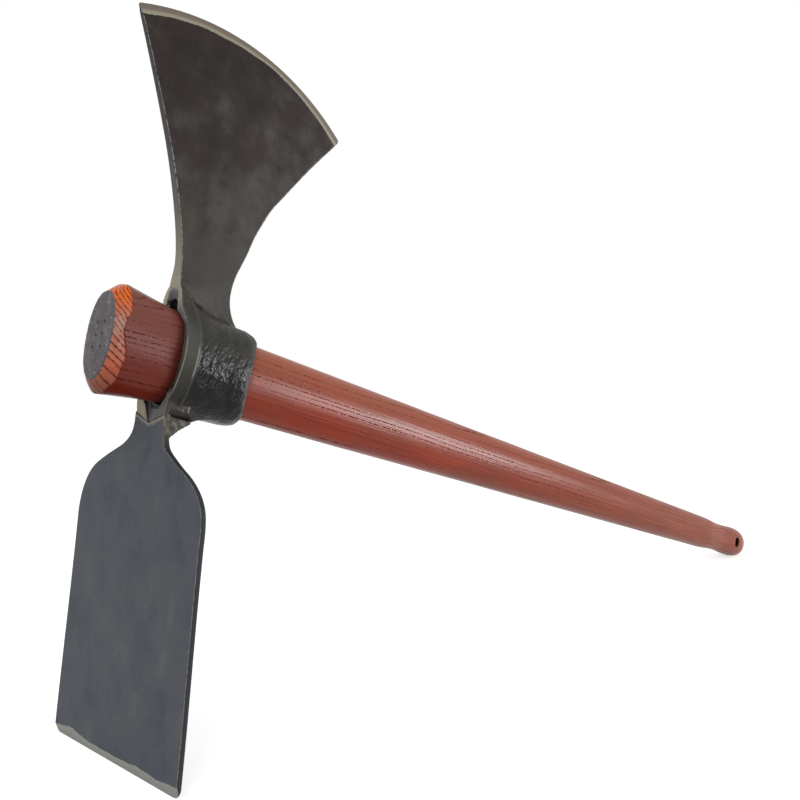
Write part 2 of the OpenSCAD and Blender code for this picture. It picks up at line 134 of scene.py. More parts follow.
def linear(hex_colour):
    """An sRGB hex colour as linear red, green, blue and alpha."""
    parts = [int(hex_colour[i:i + 2], 16) / 255 for i in (1, 3, 5)]
    return tuple(p / 12.92 if p <= 0.04045 else ((p + 0.055) / 1.055) ** 2.4 for p in parts) + (1.0,)


def feed(node, inputs):
    """Sets a node's sockets, in order or by key, to values, hex colours or outputs of other nodes."""
    for socket, value in inputs.items() if isinstance(inputs, dict) else enumerate(inputs):
        if isinstance(value, bpy.types.NodeSocket):
            node.id_data.links.new(value, node.inputs[socket])
        else:
            node.inputs[socket].default_value = linear(value) if isinstance(value, str) else value


def add_node(tree, kind, inputs=(), operation=None, out=0, stops=None, **settings):
    """Adds a node with its settings, inputs and a ramp's colour stops, and gives back one output."""
    made = tree.nodes.new("ShaderNode" + kind)
    if operation:
        made.operation = operation
    for name, value in settings.items():
        setattr(made, name, value)
    feed(made, inputs)
    if stops:
        ramp = made.color_ramp.elements
        ramp.remove(ramp[1])
        ramp[0].position, ramp[0].color = stops[0][0], linear(stops[0][1])
        for place, colour in stops[1:]:
            ramp.new(place).color = linear(colour)
    return made.outputs[out]


def new_material(name):
    """A material, the function that adds its nodes, its shader and the place in the tool's axes in mm."""
    material = bpy.data.materials.new(name)
    material.use_nodes = True
    add = partial(add_node, material.node_tree)
    place = add("TexCoord", out="Object")
    place = add("VectorMath", [place, stand.translation], "SUBTRACT")
    place = add("VectorRotate", {"Vector": place, "Angle": -lean}, rotation_type="Y_AXIS")
    place = add("VectorMath", [place, (1000, 1000, 1000)], "MULTIPLY")
    return material, add, material.node_tree.nodes["Principled BSDF"], place


print("material helpers ready")

# %% [markdown]
# ## Floor and light
# The tool is photographed on plain white. The floor is a pale matt sheet that keeps a soft shadow, and
# the world is white to the camera and to glossy surfaces but gives only an even, moderate light to the
# rest. A soft lamp beside the camera, over the knob end, is mirrored in the rounded sides of the wood
# and the collar, and a larger one above the cap lights the blades.

# %% Floor, world and lamps
FLOOR_HALF = 6.0
AMBIENT, FLOOR_GLOW = 0.55, 0.6
LAMP_AIM = (-0.35, 0, 0.2)
WHITE = (1, 1, 1, 1)

floor_z = cad_box[0][2]
corners = [(u * FLOOR_HALF, v * FLOOR_HALF, floor_z) for u, v in ((-1, -1), (1, -1), (1, 1), (-1, 1))]
floor_mesh = bpy.data.meshes.new("floor")
floor_mesh.from_pydata(corners, [], [(0, 1, 2, 3)])
floor = new_object("floor", floor_mesh)


def is_ray(add, *kinds):
    """1 for rays of the given kinds and 0 for the rest, which light the tool."""
    ray = add("LightPath").node.outputs
    seen = ray[kinds[0]]
    for kind in kinds[1:]:
        seen = add("Math", [seen, ray[kind]], "MAXIMUM")
    return seen


paper, add, shader, _ = new_material("matt_white_paper")
seen = is_ray(add, "Is Camera Ray", "Is Glossy Ray")
glow = add("Math", [seen, FLOOR_GLOW], "MULTIPLY")
feed(shader, {"Base Color": "#e6e6e6", "Roughness": 0.9,
              "Emission Color": WHITE, "Emission Strength": glow})
floor_mesh.materials.append(paper)

world = bpy.data.worlds.new("white_studio")
bpy.context.scene.world = world
world.use_nodes = True
add = partial(add_node, world.node_tree)
seen = is_ray(add, "Is Camera Ray", "Is Glossy Ray", "Is Transmission Ray")
strength = add("MapRange", {0: seen, 3: AMBIENT, 4: 1.0})
feed(world.node_tree.nodes["Background"], {"Color": WHITE, "Strength": strength})


def soft_lamp(name, at, wide, high, watts):
    """A soft lamp panel at a place, turned to the head of the tool."""
    data = bpy.data.lights.new(name, "AREA")
    data.shape, data.size, data.size_y, data.energy = "RECTANGLE", wide, high, watts
    lamp = new_object(name, data)
    lamp.location = at
    lamp.rotation_euler = (Vector(LAMP_AIM) - Vector(at)).to_track_quat("-Z", "Y").to_euler()


soft_lamp("key", (0.95, -1.05, 0.17), wide=0.7, high=0.24, watts=13)
soft_lamp("fill", (-1.5, -0.5, 1.3), wide=1.2, high=1.2, watts=12)
print("floor at", round(floor_z * 1000, 2), "mm")

# %% [markdown]
# ## Helpers for the meshes
# A piece is made from points in the tool's axes, and rows of rings make a turned or oval body. When a
# piece is done, its mesh is set down in the frame. Its material finds the way back to the tool's axes
# by itself. Some pieces also keep a number at each point, which their material reads.

# %% Mesh helpers


def new_piece(name, points, faces):
    """A mesh piece from points in the tool's axes, in millimetres."""
    mesh = bpy.data.meshes.new(name)
    mesh.from_pydata([tuple(p) for p in np.asarray(points) * MM], [], faces)
    return new_object(name, mesh)


def face_outwards(mesh):
    """Turns all faces of a closed mesh outwards."""
    work = bmesh.new()
    work.from_mesh(mesh)
    bmesh.ops.recalc_face_normals(work, faces=work.faces)
    work.to_mesh(mesh)
    work.free()


def set_down(piece, crease_degrees, material):
    """Stands a finished piece in the frame, smooth up to a crease angle, with its material."""
    face_outwards(piece.data)
    piece.data.polygons.foreach_set("use_smooth", [True] * len(piece.data.polygons))
    piece.data.set_sharp_from_angle(angle=math.radians(crease_degrees))
    piece.data.transform(stand)
    piece.data.materials.clear()
    piece.data.materials.append(material)


def ring_faces(rings, sides):
    """Quads between rings that follow each other, and a fan at each end to a hub point."""
    faces = []
    for r in range(rings - 1):
        for i in range(sides):
            j = (i + 1) % sides
            faces.append((r * sides + i, r * sides + j, (r + 1) * sides + j, (r + 1) * sides + i))
    first, last = rings * sides, rings * sides + 1
    for i in range(sides):
        j = (i + 1) % sides
        faces.append((first, j, i))
        faces.append((last, (rings - 1) * sides + i, (rings - 1) * sides + j))
    return faces


print("faces between two rings of four:", len(ring_faces(2, 4)))

# %% Points of a piece


def evaluated(piece):
    """Applies the modifiers of a piece to its mesh."""
    graph = bpy.context.evaluated_depsgraph_get()
    mesh = bpy.data.meshes.new_from_object(piece.evaluated_get(graph))
    piece.modifiers.clear()
    piece.data = mesh


def store(piece, name, values):
    """Keeps one number per point of a piece, for its material to read."""
    layer = piece.data.attributes.new(name, "FLOAT", "POINT")
    layer.data.foreach_set("value", np.asarray(values, dtype=np.float32).ravel())


def points_of(piece):
    """The points of a piece in millimetres."""
    flat = np.empty(len(piece.data.vertices) * 3, np.float32)
    piece.data.vertices.foreach_get("co", flat)
    return flat.reshape(-1, 3).astype(float) / MM


def waves(points, size, octaves=1, seed=0.0):
    """Smooth noise between -1 and 1 at each point, with features of the given size in millimetres."""
    shift = Vector((seed, 2.3 * seed, -seed))
    return np.array([noise.fractal(Vector(p) / size + shift, 0.5, 2.0, octaves) for p in points])


print("a wave at one point:", waves([(1.0, 2.0, 3.0)], 10.0).round(3))

# %% [markdown]
# ## Helpers for soft shapes
# Hand work has no hard borders, so most shapes below fade in and out along a length. Three short
# functions say where: one rises from 0 to 1, one falls from 1 to 0, and one is a soft hump.

# %% Soft shapes


def ease(share):
    """A share from 0 to 1 with a smooth start and end."""
    share = np.clip(share, 0, 1)
    return share * share * (3 - 2 * share)


def rising(values, start, run):
    """0 up to a start, and 1 from a run behind it."""
    return ease((values - start) / run)


def falling(values, end, run):
    """1 up to a run before an end, and 0 from there on."""
    return ease((end - values) / run)


def hump(values, middle, reach):
    """1 at a middle, fading on both sides over a reach."""
    return np.exp(-((values - middle) / reach) ** 2)


print("half way up a rise:", rising(0.5, 0, 1))

# %% [markdown]
# ## The handle
# The handle is a flat oval stick. It flares at the cap end, so the head can slide on from the thin end
# and wedges itself tight. Rings of points follow the same taper as the solid. The cap's edge was cut
# back with a draw knife, in straight cuts that meet in corners, so the foot of that chamfer wanders by
# up to four millimetres. The end was sawn at a slight lean, and the shaft is slightly wavy.

# %% Sizes of the handle
SIDES = 160
CHAMFER_LEN, FLARE_END = 6.0, 72.0
KNOB_LEN, GROOVE_LEN = 80.0, 14.0
SANDED_LEN = 34.0  # sanded by hand, so the groove runs in much more gently than in the solid
FOOT_X = CAP_X + CHAMFER_LEN
KNOB_X = TIP_X - KNOB_LEN
GRIP_X = KNOB_X - GROOVE_LEN
WAIST_X = GRIP_X - SANDED_LEN
# Each size is a height and a width
CAP_FLAT, CAP_SIZE = (47.0, 24.4), (59.4, 34.0)
SHAFT_SIZE, GRIP_SIZE = (44.6, 28.0), (34.2, 27.0)
GROOVE_SIZE, KNOB_SIZE = (31.0, 24.6), (33.6, 26.6)
OVAL_POWER = 2.2
END_PROUD, END_LEAN = 1.3, 0.05
# Corners of the knife cuts: degrees round the handle, and the length of the chamfer there
KNIFE_CORNERS = (
    (0, 6.0), (60, 7.0), (140, 7.0), (155, 6.5), (163, 3.7), (174, 3.4),
    (197, 7.4), (222, 7.0), (241, 5.2), (262, 4.8), (310, 5.0), (360, 6.0))
KNIFE_RIPPLE = 0.25

turns = 2 * np.pi * (np.arange(SIDES) + 0.5) / SIDES


def shaft_size(x, which):
    """Height (0) or width (1) of the tapered and flared shaft at x."""
    taper = (GRIP_SIZE[which] - SHAFT_SIZE[which]) / (GRIP_X - FLARE_END)
    plain_foot = SHAFT_SIZE[which] + taper * (FOOT_X - FLARE_END)
    flare = np.clip((FLARE_END - x) / (FLARE_END - FOOT_X), 0, None) ** 2
    return SHAFT_SIZE[which] + taper * (x - FLARE_END) + (CAP_SIZE[which] - plain_foot) * flare


def oval(x, height, width):
    """A ring of points round the handle; x, height and width may change round the ring."""
    up = np.sign(np.sin(turns)) * np.abs(np.sin(turns)) ** (2 / OVAL_POWER)
    out = np.sign(np.cos(turns)) * np.abs(np.cos(turns)) ** (2 / OVAL_POWER)
    return np.column_stack([np.broadcast_to(x, SIDES), width / 2 * out, height / 2 * up])


def end_face(z):
    """Where the sawn end lies at a height: the saw cut leans a little, out at the top."""
    return CAP_X - END_PROUD - END_LEAN * z


def chamfer_foot(angle):
    """Where the chamfer ends, at an angle round the handle."""
    corner_at, corner_wide = np.array(KNIFE_CORNERS, float).T
    wide = np.interp(np.degrees(angle) % 360, corner_at, corner_wide)
    return end_face(CAP_FLAT[0] / 2 * np.sin(angle)) + wide + KNIFE_RIPPLE * np.sin(11 * angle + 2.0)


print("thinnest and thickest height:", GROOVE_SIZE[0], CAP_SIZE[0], "mm")

# %% Handle
CAP_STEPS = (0, 0.06, 0.3, 0.55, 0.75, 0.87, 0.94, 0.98, 1.02, 1.06, 1.12, 1.22, 1.35, 1.5)
WAVY_FROM, WAVY_RUN, WAVY_SHARE, WAVE_MM = 90, 60, 0.006, 24
KNOB_STOP = 0.995  # the last ring lies just before the tip, where a hub point closes it
foot = chamfer_foot(turns)
end_x = end_face(oval(0, *CAP_FLAT)[:, 2])
ridge = 1 + 3 * np.clip(np.sin(turns), 0, 1) ** 8  # the chamfer's ridge is rounded most at the top
bulge = 1 - 0.4 * np.clip(-np.sin(turns), 0, 1) ** 3  # and the chamfer is fuller below


def cap_ring(x):
    """A ring of the cap end, where the chamfer runs into the flare over a rounded ridge."""
    size = []
    for w in (0, 1):
        part = np.clip((x - end_x) / (foot - end_x), 0, None) ** bulge
        shaved = CAP_FLAT[w] + (shaft_size(foot, w) - CAP_FLAT[w]) * part
        full = shaft_size(x, w)
        overlap = np.clip(ridge - np.abs(shaved - full), 0, None)
        size.append(np.minimum(shaved, full) - overlap ** 2 / (4 * ridge))
    return oval(x, *size)


def bulb(k, groove, knob):
    """Size of the knob at the part k of its length."""
    if k < 0.5:
        return groove + (knob - groove) * ease(2 * k)
    return knob * math.sqrt(max(0, 1 - (2 * k - 1) ** 2.4))


rings = [cap_ring(end_x + k * (foot - end_x)) for k in CAP_STEPS]
flare_start = end_x + CAP_STEPS[-1] * (foot - end_x)
for k in np.linspace(0, 1, 24)[1:]:
    rings.append(cap_ring(flare_start + k * (FLARE_END - flare_start)))
for x in np.linspace(FLARE_END, WAIST_X, 120)[1:]:
    rings.append(oval(x, shaft_size(x, 0), shaft_size(x, 1)))
for k in np.linspace(0, 1, 30)[1:]:
    x = WAIST_X + k * (KNOB_X - WAIST_X)
    size = [shaft_size(x, w) + (GROOVE_SIZE[w] - shaft_size(x, w)) * ease(k) for w in (0, 1)]
    rings.append(oval(x, *size))
for k in KNOB_STOP * np.sin(np.linspace(0, np.pi / 2, 40))[1:]:
    size = [bulb(k, GROOVE_SIZE[w], KNOB_SIZE[w]) for w in (0, 1)]
    rings.append(oval(KNOB_X + k * KNOB_LEN, *size))

handle_points = np.concatenate(rings)
wavy = WAVY_SHARE * np.clip((handle_points[:, 0] - WAVY_FROM) / WAVY_RUN, 0, 1)
wave = 1 + wavy * waves(handle_points * [0.4, 1, 1], WAVE_MM, 2)
handle_points[:, 1:] *= wave[:, None]
hubs = [[end_face(0), 0, 0], [rings[-1][0][0], 0, 0]]
handle = new_piece("ash_handle", np.concatenate([handle_points, hubs]), ring_faces(len(rings), SIDES))
face_outwards(handle.data)
print("handle rings:", len(rings))

# %% [markdown]
# ## The lanyard hole
# The hole across the knob is cut with a flared cutter, which leaves a small countersink. Each point of
# the handle then keeps whether it lies on the knife-cut chamfer, because cut end grain looks different.

# %% Lanyard hole
HOLE_R, HOLE_FLARE, HOLE_MOUTH = 5.5, 1.1, 13.1
CUTTER_R, CUTTER_END, CUTTER_SIDES = 12.6, 20.0, 64
BORDER_IN, BORDER_FADE = 0.2, 0.5
outward_part = [
    (HOLE_MOUTH - HOLE_FLARE, HOLE_R), (HOLE_MOUTH, HOLE_R + HOLE_FLARE), (CUTTER_END, CUTTER_R)]
profile = [(-y, r) for y, r in outward_part[::-1]] + outward_part
circle = 2 * np.pi * np.arange(CUTTER_SIDES) / CUTTER_SIDES
cutter_points = [(LANYARD_X + r * math.cos(a), y, r * math.sin(a)) for y, r in profile for a in circle]
cutter_points += [(LANYARD_X, -CUTTER_END, 0), (LANYARD_X, CUTTER_END, 0)]
cutter = new_piece("hole_cutter", cutter_points, ring_faces(len(profile), CUTTER_SIDES))
face_outwards(cutter.data)
bore = handle.modifiers.new("lanyard_hole", "BOOLEAN")
bore.operation, bore.object, bore.solver = "DIFFERENCE", cutter, "EXACT"
evaluated(handle)
bpy.data.objects.remove(cutter)

at = points_of(handle)
up, out = [np.sign(at[:, i]) * np.abs(at[:, i] / CAP_SIZE[2 - i]) ** (OVAL_POWER / 2) for i in (2, 1)]
border = chamfer_foot(np.arctan2(up, out)) - BORDER_IN
store(handle, "cut_end", np.clip(0.5 + (border - at[:, 0]) / BORDER_FADE, 0, 1))
print("handle points:", len(at))

# %% [markdown]
# ## Stained ash
# Ash is ring-porous: each year's growth starts with a row of open pores, which soak up stain and show
# as long dark dashes along the handle and as stripes across the cut end. So the pattern is built in
# the solid, from the distance to the tree's heart, and every face cuts it the way the saw did. The
# heart lies 150 mm away, below the far side. A growth ring is about 4 mm wide there, and the years
# grow narrower towards the bark. The pores are a noise stretched along the grain. The wood was rubbed
# with an oil varnish that hardly builds a film, so it gleams only where the lamp is mirrored, and less
# towards the knob, where hands have dulled it. The stain is darkest on the cap. Light and shade are
# painted in too: a painted shadow where the eye sits, painted shade inside the lanyard hole, and a
# painted sheen on the top of the handle and of the cap.

# %% Growth rings and pores of the ash
RING_MM, RINGS_TIGHTEN = 3.9, 0.0105
HEART, HEART_AWAY = (0.0, 108.0, -104.0), 150.0
DRIFT_MM, DRIFT_WIDE, UNEVEN_MM = 160, 5, 9
ALONG_GRAIN = 0.006  # the rings hardly change along the grain
PORE_LEN, PORE_WIDE = 2.4, 0.8  # the real pores are 0.3 mm wide, drawn coarser so that they show
RICH_LEN, RICH_WIDE = 130, 5
STREAK_LEN, STREAK_WIDE = 70, 1.3
ash, add, shader, mm = new_material("stained_ash_oil_varnished")
drift = add("TexNoise", {"Vector": mm, "Scale": 1 / DRIFT_MM, "Detail": 1.0}, out="Color")
drift = add("VectorMath", [drift, (0.5, 0.5, 0.5)], "SUBTRACT")
drift = add("VectorMath", [drift, (0, DRIFT_WIDE, DRIFT_WIDE), mm], "MULTIPLY_ADD")
radius = add("VectorMath", [drift, HEART], "SUBTRACT")
radius = add("VectorMath", [radius, (ALONG_GRAIN, 1, 1)], "MULTIPLY")
radius = add("VectorMath", [radius], "LENGTH", out="Value")
uneven = add("TexNoise", {"W": radius, "Scale": 1 / UNEVEN_MM, "Detail": 1.0}, noise_dimensions="1D")
year = add("Math", [radius, 1 / RING_MM, uneven], "MULTIPLY_ADD")
outer = add("Math", [radius, HEART_AWAY], "SUBTRACT")
outer = add("Math", [outer, 0.0], "MAXIMUM")
outer = add("Math", [outer, 2.0], "POWER")
year = add("Math", [outer, RINGS_TIGHTEN, year], "MULTIPLY_ADD")
in_year = add("Math", [year, 0.5], "PINGPONG")
early = add("MapRange", [in_year, 0.05, 0.14, 1.0, 0.0])

noises = []
for length, wide, detail, rough in (
        (PORE_LEN, PORE_WIDE, 2.0, 0.6), (RICH_LEN, RICH_WIDE, 1.0, 0.5),
        (STREAK_LEN, STREAK_WIDE, 3.0, 0.5)):
    grain_at = add("VectorMath", [drift, (1 / length, 1 / wide, 1 / wide)], "MULTIPLY")
    noises.append(add("TexNoise", {"Vector": grain_at, "Scale": 1.0, "Detail": detail, "Roughness": rough}))
pore, rich, streak = noises
pore = add("MapRange", [pore, 0.44, 0.58])
rich = add("MapRange", [rich, 0.42, 0.6, 0.12, 1.0])
row = add("Math", [early, rich], "MULTIPLY")
pore = add("Math", [pore, row], "MULTIPLY")
print("growth ring", RING_MM, "mm, pores", PORE_LEN, "by", PORE_WIDE, "mm")

# %% Colours along the handle
NEAR_STAIN = [(0.3, "#79230b"), (0.52, "#87290d"), (0.72, "#963512")]
FAR_STAIN = [(0.3, "#743019"), (0.52, "#7f3820"), (0.72, "#8b4630")]
PATCH_MM = 55
apart = add("SeparateXYZ", [mm]).node.outputs
down_length = add("MapRange", [apart[0], 60.0, 640.0], interpolation_type="SMOOTHSTEP")
near_half = add("Math", [1.0, down_length], "SUBTRACT")
far = add("ValToRGB", [streak], stops=FAR_STAIN)
patch = add("TexNoise", {"Vector": mm, "Scale": 1 / PATCH_MM, "Detail": 3.0})
patch = add("MapRange", [patch, 0.48, 0.66, 0, 0.3])
# painted sheen: the upper side of the handle's near half is painted a paler orange-brown
painted_sheen_on_top = add("MapRange", [apart[2], 2.0, 12.0, 0, 0.75])
painted_sheen_on_top = add("Math", [painted_sheen_on_top, near_half], "MULTIPLY")
cap_side = add("MapRange", [apart[0], -2.0, 14.0, 0.7, 0.0])
# painted sheen: the top of the cap end is painted a paler mauve
painted_sheen_on_cap = add("MapRange", [apart[2], -3.0, 15.0, 0, 1.3])
painted_sheen_on_cap = add("Math", [painted_sheen_on_cap, cap_side], "MULTIPLY")
# painted shade: the wall of the lanyard hole is painted dark brown
painted_shade_in_hole = add("VectorMath", [mm, (LANYARD_X, 0, 0)], "SUBTRACT")
painted_shade_in_hole = add("VectorMath", [painted_shade_in_hole, (1, 0, 1)], "MULTIPLY")
painted_shade_in_hole = add("VectorMath", [painted_shade_in_hole], "LENGTH", out="Value")
painted_shade_in_hole = add("MapRange", [painted_shade_in_hole, HOLE_R, HOLE_R + HOLE_FLARE, 1.0, 0.0])
# painted shadow: the wood is painted dark red from just in front of the eye back under the head
painted_eye_shadow = add("MapRange", [apart[0], -3.0, 8.0, 0, 0.85])
under_head = add("MapRange", [apart[0], 50.0, 62.0, 1.0, 0.0])
painted_eye_shadow = add("Math", [painted_eye_shadow, under_head], "MULTIPLY")
ring_tint = add("Math", [early, 0.08], "MULTIPLY")
pore_tint = add("Math", [pore, 0.6], "MULTIPLY")
wood = add("ValToRGB", [streak], stops=NEAR_STAIN)
for share, tint in (
        (down_length, far), (patch, "#64301f"), (painted_sheen_on_top, "#97543e"),
        (cap_side, "#551307"), (painted_sheen_on_cap, "#6f3d33"), (painted_shade_in_hole, "#2b1a13"),
        (painted_eye_shadow, "#3c0f0a"), (ring_tint, "#3c130b"), (pore_tint, "#260d08")):
    wood = add("Mix", {0: share, 6: wood, 7: tint}, out=2, data_type="RGBA")
print("stains along the handle:", len(NEAR_STAIN) + len(FAR_STAIN))

# %% Colours of the cut end, gleam and relief
# The cut end's tones by height are partly painted light: orange at the top, where the chamfer faces up into the
# light, pinker in the middle and darker at the bottom.
END_TONES_WITH_LIGHT = [(0.0, "#7f4434"), (0.2, "#b25a3e"), (0.42, "#b97a66"),
             (0.62, "#a87c6e"), (0.78, "#c4602f"), (0.92, "#e0661c")]
END_BLOTCH_MM, FRAY_MM = 3.5, 1.5
end_height_light = add("MapRange", [apart[2], -26.0, 27.0])
colour = add("ValToRGB", [end_height_light], stops=END_TONES_WITH_LIGHT)
end_stain = add("TexNoise", {"Vector": mm, "Scale": 1 / END_BLOTCH_MM, "Detail": 4.0})
end_stain = add("MapRange", [end_stain, 0.45, 0.7, 0, 0.55])
fray = add("TexNoise", {"Vector": mm, "Scale": 1 / FRAY_MM, "Detail": 3.0})
fray = add("MapRange", [fray, 0.3, 0.7, -0.09, 0.13])
end_stripe = add("Math", [in_year, fray], "ADD")
end_stripe = add("MapRange", [end_stripe, 0.06, 0.22, 0.9, 0.0])
cut_end = add("Attribute", out="Fac", attribute_name="cut_end")
long_side = add("Math", [1.0, cut_end], "SUBTRACT")
for share, tint in ((end_stain, "#92452c"), (end_stripe, "#4c1d10"), (long_side, wood)):
    colour = add("Mix", {0: share, 6: colour, 7: tint}, out=2, data_type="RGBA")

rough = add("MapRange", {0: pore, 3: 0.29, 4: 0.8})
rough = add("Math", [painted_eye_shadow, 0.5, rough], "MULTIPLY_ADD")
gleam = add("MapRange", {0: pore, 3: 0.2, 4: 0.02})
handled = add("MapRange", {0: down_length, 3: 1.0, 4: 0.45})
gleam = add("Math", [gleam, handled], "MULTIPLY")
height = add("Math", [pore, -1.0, streak], "MULTIPLY_ADD")
relief = add("Bump", {"Strength": 0.35, "Distance": 0.0003, "Height": height})
feed(shader, {"Base Color": colour, "Roughness": rough, "Specular IOR Level": gleam, "Normal": relief})
set_down(handle, 38, ash)
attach(handle, "handle")
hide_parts("handle")
print("handle finished:", ash.name)

# %% [markdown]
# ## The sealed end
# The cap's end grain is sealed with a dark brushed coat, so the wood doesn't dry out and split there.
# The lathe's drive centre left two rows of dents, which the coat follows. They are real dents in the
# mesh, because they are the main feature of this face, and they are also painted nearly black as
# painted shade. The coat is matt, with pale specks of dust that gather towards its rim.

# %% Sealed end
SEAL_T, SEAL_RINGS, SEAL_RIM = 0.8, 44, 0.05
DENTS = ((-3.6, 7.0), (3.2, 6.4), (-3.2, 0.6), (2.4, -0.2), (-4.0, -6.0), (3.4, -6.8))
DENT_R, DENT_DEEP, DENT_LIP = 1.0, 0.5, 0.1
COAT_LUMP_MM, COAT_LUMP_HIGH = 5, 0.12
COAT_CLOUD_MM, SPECK_MM = 7, 1.6
rim = oval(0, *CAP_FLAT)
coat = []
for share in np.linspace(0.02, 1, SEAL_RINGS):
    ring = rim * [1, share, share]
    ring[:, 0] = -SEAL_T * math.sqrt(max(0.0, 1 - max(0.0, (share - 1 + SEAL_RIM) / SEAL_RIM) ** 2))
    coat.append(ring)
coat_points = np.concatenate(coat)
lumps = COAT_LUMP_HIGH * waves(coat_points, COAT_LUMP_MM, 3, 4.0)
lumps *= np.clip(-coat_points[:, 0] / SEAL_T, 0, 1)
for y, z in DENTS:
    gap = np.hypot(coat_points[:, 1] - y, coat_points[:, 2] - z) / DENT_R
    lumps += DENT_DEEP * hump(gap, 0, 1) - DENT_LIP * hump(gap, 1.6, 0.5)
coat_points[:, 0] = np.clip(coat_points[:, 0] + lumps, -SEAL_T - 0.05, 0)
coat_points = np.concatenate([coat_points, [[-SEAL_T, 0, 0], [0, 0, 0]]])
coat_points[:, 0] += end_face(coat_points[:, 2])
seal = new_piece("end_coat", coat_points, ring_faces(SEAL_RINGS, SIDES))
sunk = [hump(np.hypot(coat_points[:, 1] - y, coat_points[:, 2] - z), 0, DENT_R) for y, z in DENTS]
store(seal, "painted_dent_shade", np.max(sunk, axis=0))

bitumen, add, shader, mm = new_material("brushed_bitumen_coat")
cloud = add("TexNoise", {"Vector": mm, "Scale": 1 / COAT_CLOUD_MM, "Detail": 5.0})
colour = add("ValToRGB", [cloud], stops=[(0.32, "#443f43"), (0.5, "#504a4e"), (0.7, "#605a5d")])
speck = add("TexNoise", {"Vector": mm, "Scale": 1 / SPECK_MM, "Detail": 3.0})
to_rim = (0, 2 / CAP_FLAT[1], 2 / CAP_FLAT[0])
outward = add("VectorMath", [mm, to_rim], "MULTIPLY")
outward = add("VectorMath", [outward], "LENGTH", out="Value")
speck = add("Math", [outward, 0.1, speck], "MULTIPLY_ADD")
speck = add("MapRange", [speck, 0.69, 0.78, 0, 0.7])
# painted shade: the dents are painted nearly black
painted_dent_shade = add("Attribute", out="Fac", attribute_name="painted_dent_shade")
painted_dent_shade = add("MapRange", [painted_dent_shade, 0.2, 0.7, 0, 0.9])
for share, tint in ((speck, "#a5a2a2"), (painted_dent_shade, "#1c191b")):
    colour = add("Mix", {0: share, 6: colour, 7: tint}, out=2, data_type="RGBA")
relief = add("Bump", {"Strength": 0.4, "Distance": 0.0004, "Height": cloud})
feed(shader, {"Base Color": colour, "Roughness": 0.5, "Specular IOR Level": 0.3, "Normal": relief})
set_down(seal, 50, bitumen)
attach(seal, "handle")
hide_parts("end_seal")
print("dents in the sealed end:", len(DENTS))

# %% [markdown]
# ## The forged eye
# The eye was slit, opened over a mandrel and hammered, so none of its edges is sharp. A copy of the
# solid is remeshed in half-millimetre voxels and smoothed a little, which rounds every edge the way
# a forging's are. The smith drew the axe's neck out on the anvil, so it swells a little into the fork.
# The axe plate gets the same change later, and both still meet.

# %% Forged copies
VOXEL_MM = 0.5


def forged_copy(node, name, voxel):
    """A copy of a CAD solid in the tool's axes, with its edges rounded by a voxel remesh."""
    mesh = frame["nodes"][node].data.copy()
    mesh.transform(stand.inverted())
    mesh.materials.clear()
    mesh.name = name
    piece = new_object(name, mesh)
    remesh = piece.modifiers.new("voxels", "REMESH")
    remesh.mode, remesh.voxel_size = "VOXEL", voxel * MM
    soften = piece.modifiers.new("soften", "SMOOTH")
    soften.factor, soften.iterations = 0.5, 3
    evaluated(piece)
    return piece


def move_points(piece, points):
    """Gives a piece new points in millimetres."""
    piece.data.vertices.foreach_set("co", (points * MM).astype(np.float32).ravel())
    piece.data.update()


eye = forged_copy("eye_socket", "forged_eye", VOXEL_MM)
print("points on the forged eye:", len(eye.data.vertices))

# %% The drawn neck
NECK_LEAD, NECK_BACK, NECK_SWELL = 1.3, 1.7, 0.55


def neck_lead(z):
    """How far the axe's neck was drawn forward on the anvil, by height."""
    return NECK_LEAD * rising(z, 34, 22) * falling(z, 118, 56)


def drawn_out(points):
    """The axe's neck as the hammer left it: a little wider than drawn, and swelling into the fork."""
    x, y, z = points.T
    swell = NECK_SWELL * hump(z, 40, 7) * falling(x, 36, 28)
    back = NECK_BACK * hump(z, 70, 12) - hump(z, 104, 9)
    forward = neck_lead(z) * falling(x, 25, 20)
    return np.column_stack([x - forward + back * rising(x, 20, 16), y * (1 + swell), z])


move_points(eye, drawn_out(points_of(eye)))
print("the neck was drawn forward by", neck_lead(np.array([56.0])).round(2), "mm")

# %% [markdown]
# ## Hammer marks
# Hammer marks are pressed into the outside, but not into the bore, where the handle runs. Broad dents
# come from the hammer's face. Fine slanting crinkles come from the scale that it drove in. A short
# crack and a lump mark where the axe's foot was folded onto the collar.

# %% Normals and bends


def normals_of(piece):
    """The normals at the points of a piece."""
    flat = np.empty(len(piece.data.vertices) * 3, np.float32)
    piece.data.vertices.foreach_get("normal", flat)
    return flat.reshape(-1, 3).astype(float)


def press(piece, depth):
    """Moves each point along its normal by a depth in millimetres."""
    move_points(piece, points_of(piece) + normals_of(piece) * np.asarray(depth)[:, None])


def bending(piece, rounds):
    """How far the surface stands proud of its surroundings, in millimetres, smoothed a few times."""
    at, out = points_of(piece), normals_of(piece)
    ends = np.empty(len(piece.data.edges) * 2, np.int32)
    piece.data.edges.foreach_get("vertices", ends)
    a, b = ends.reshape(-1, 2).T
    count = np.maximum(np.bincount(np.concatenate([a, b]), minlength=len(at)), 1)
    mean = at
    for _ in range(rounds):
        total = np.zeros_like(at)
        np.add.at(total, a, mean[b])
        np.add.at(total, b, mean[a])
        mean = total / count[:, None]
    return np.einsum("ij,ij->i", at - mean, out)


print("normals on the eye:", len(normals_of(eye)))

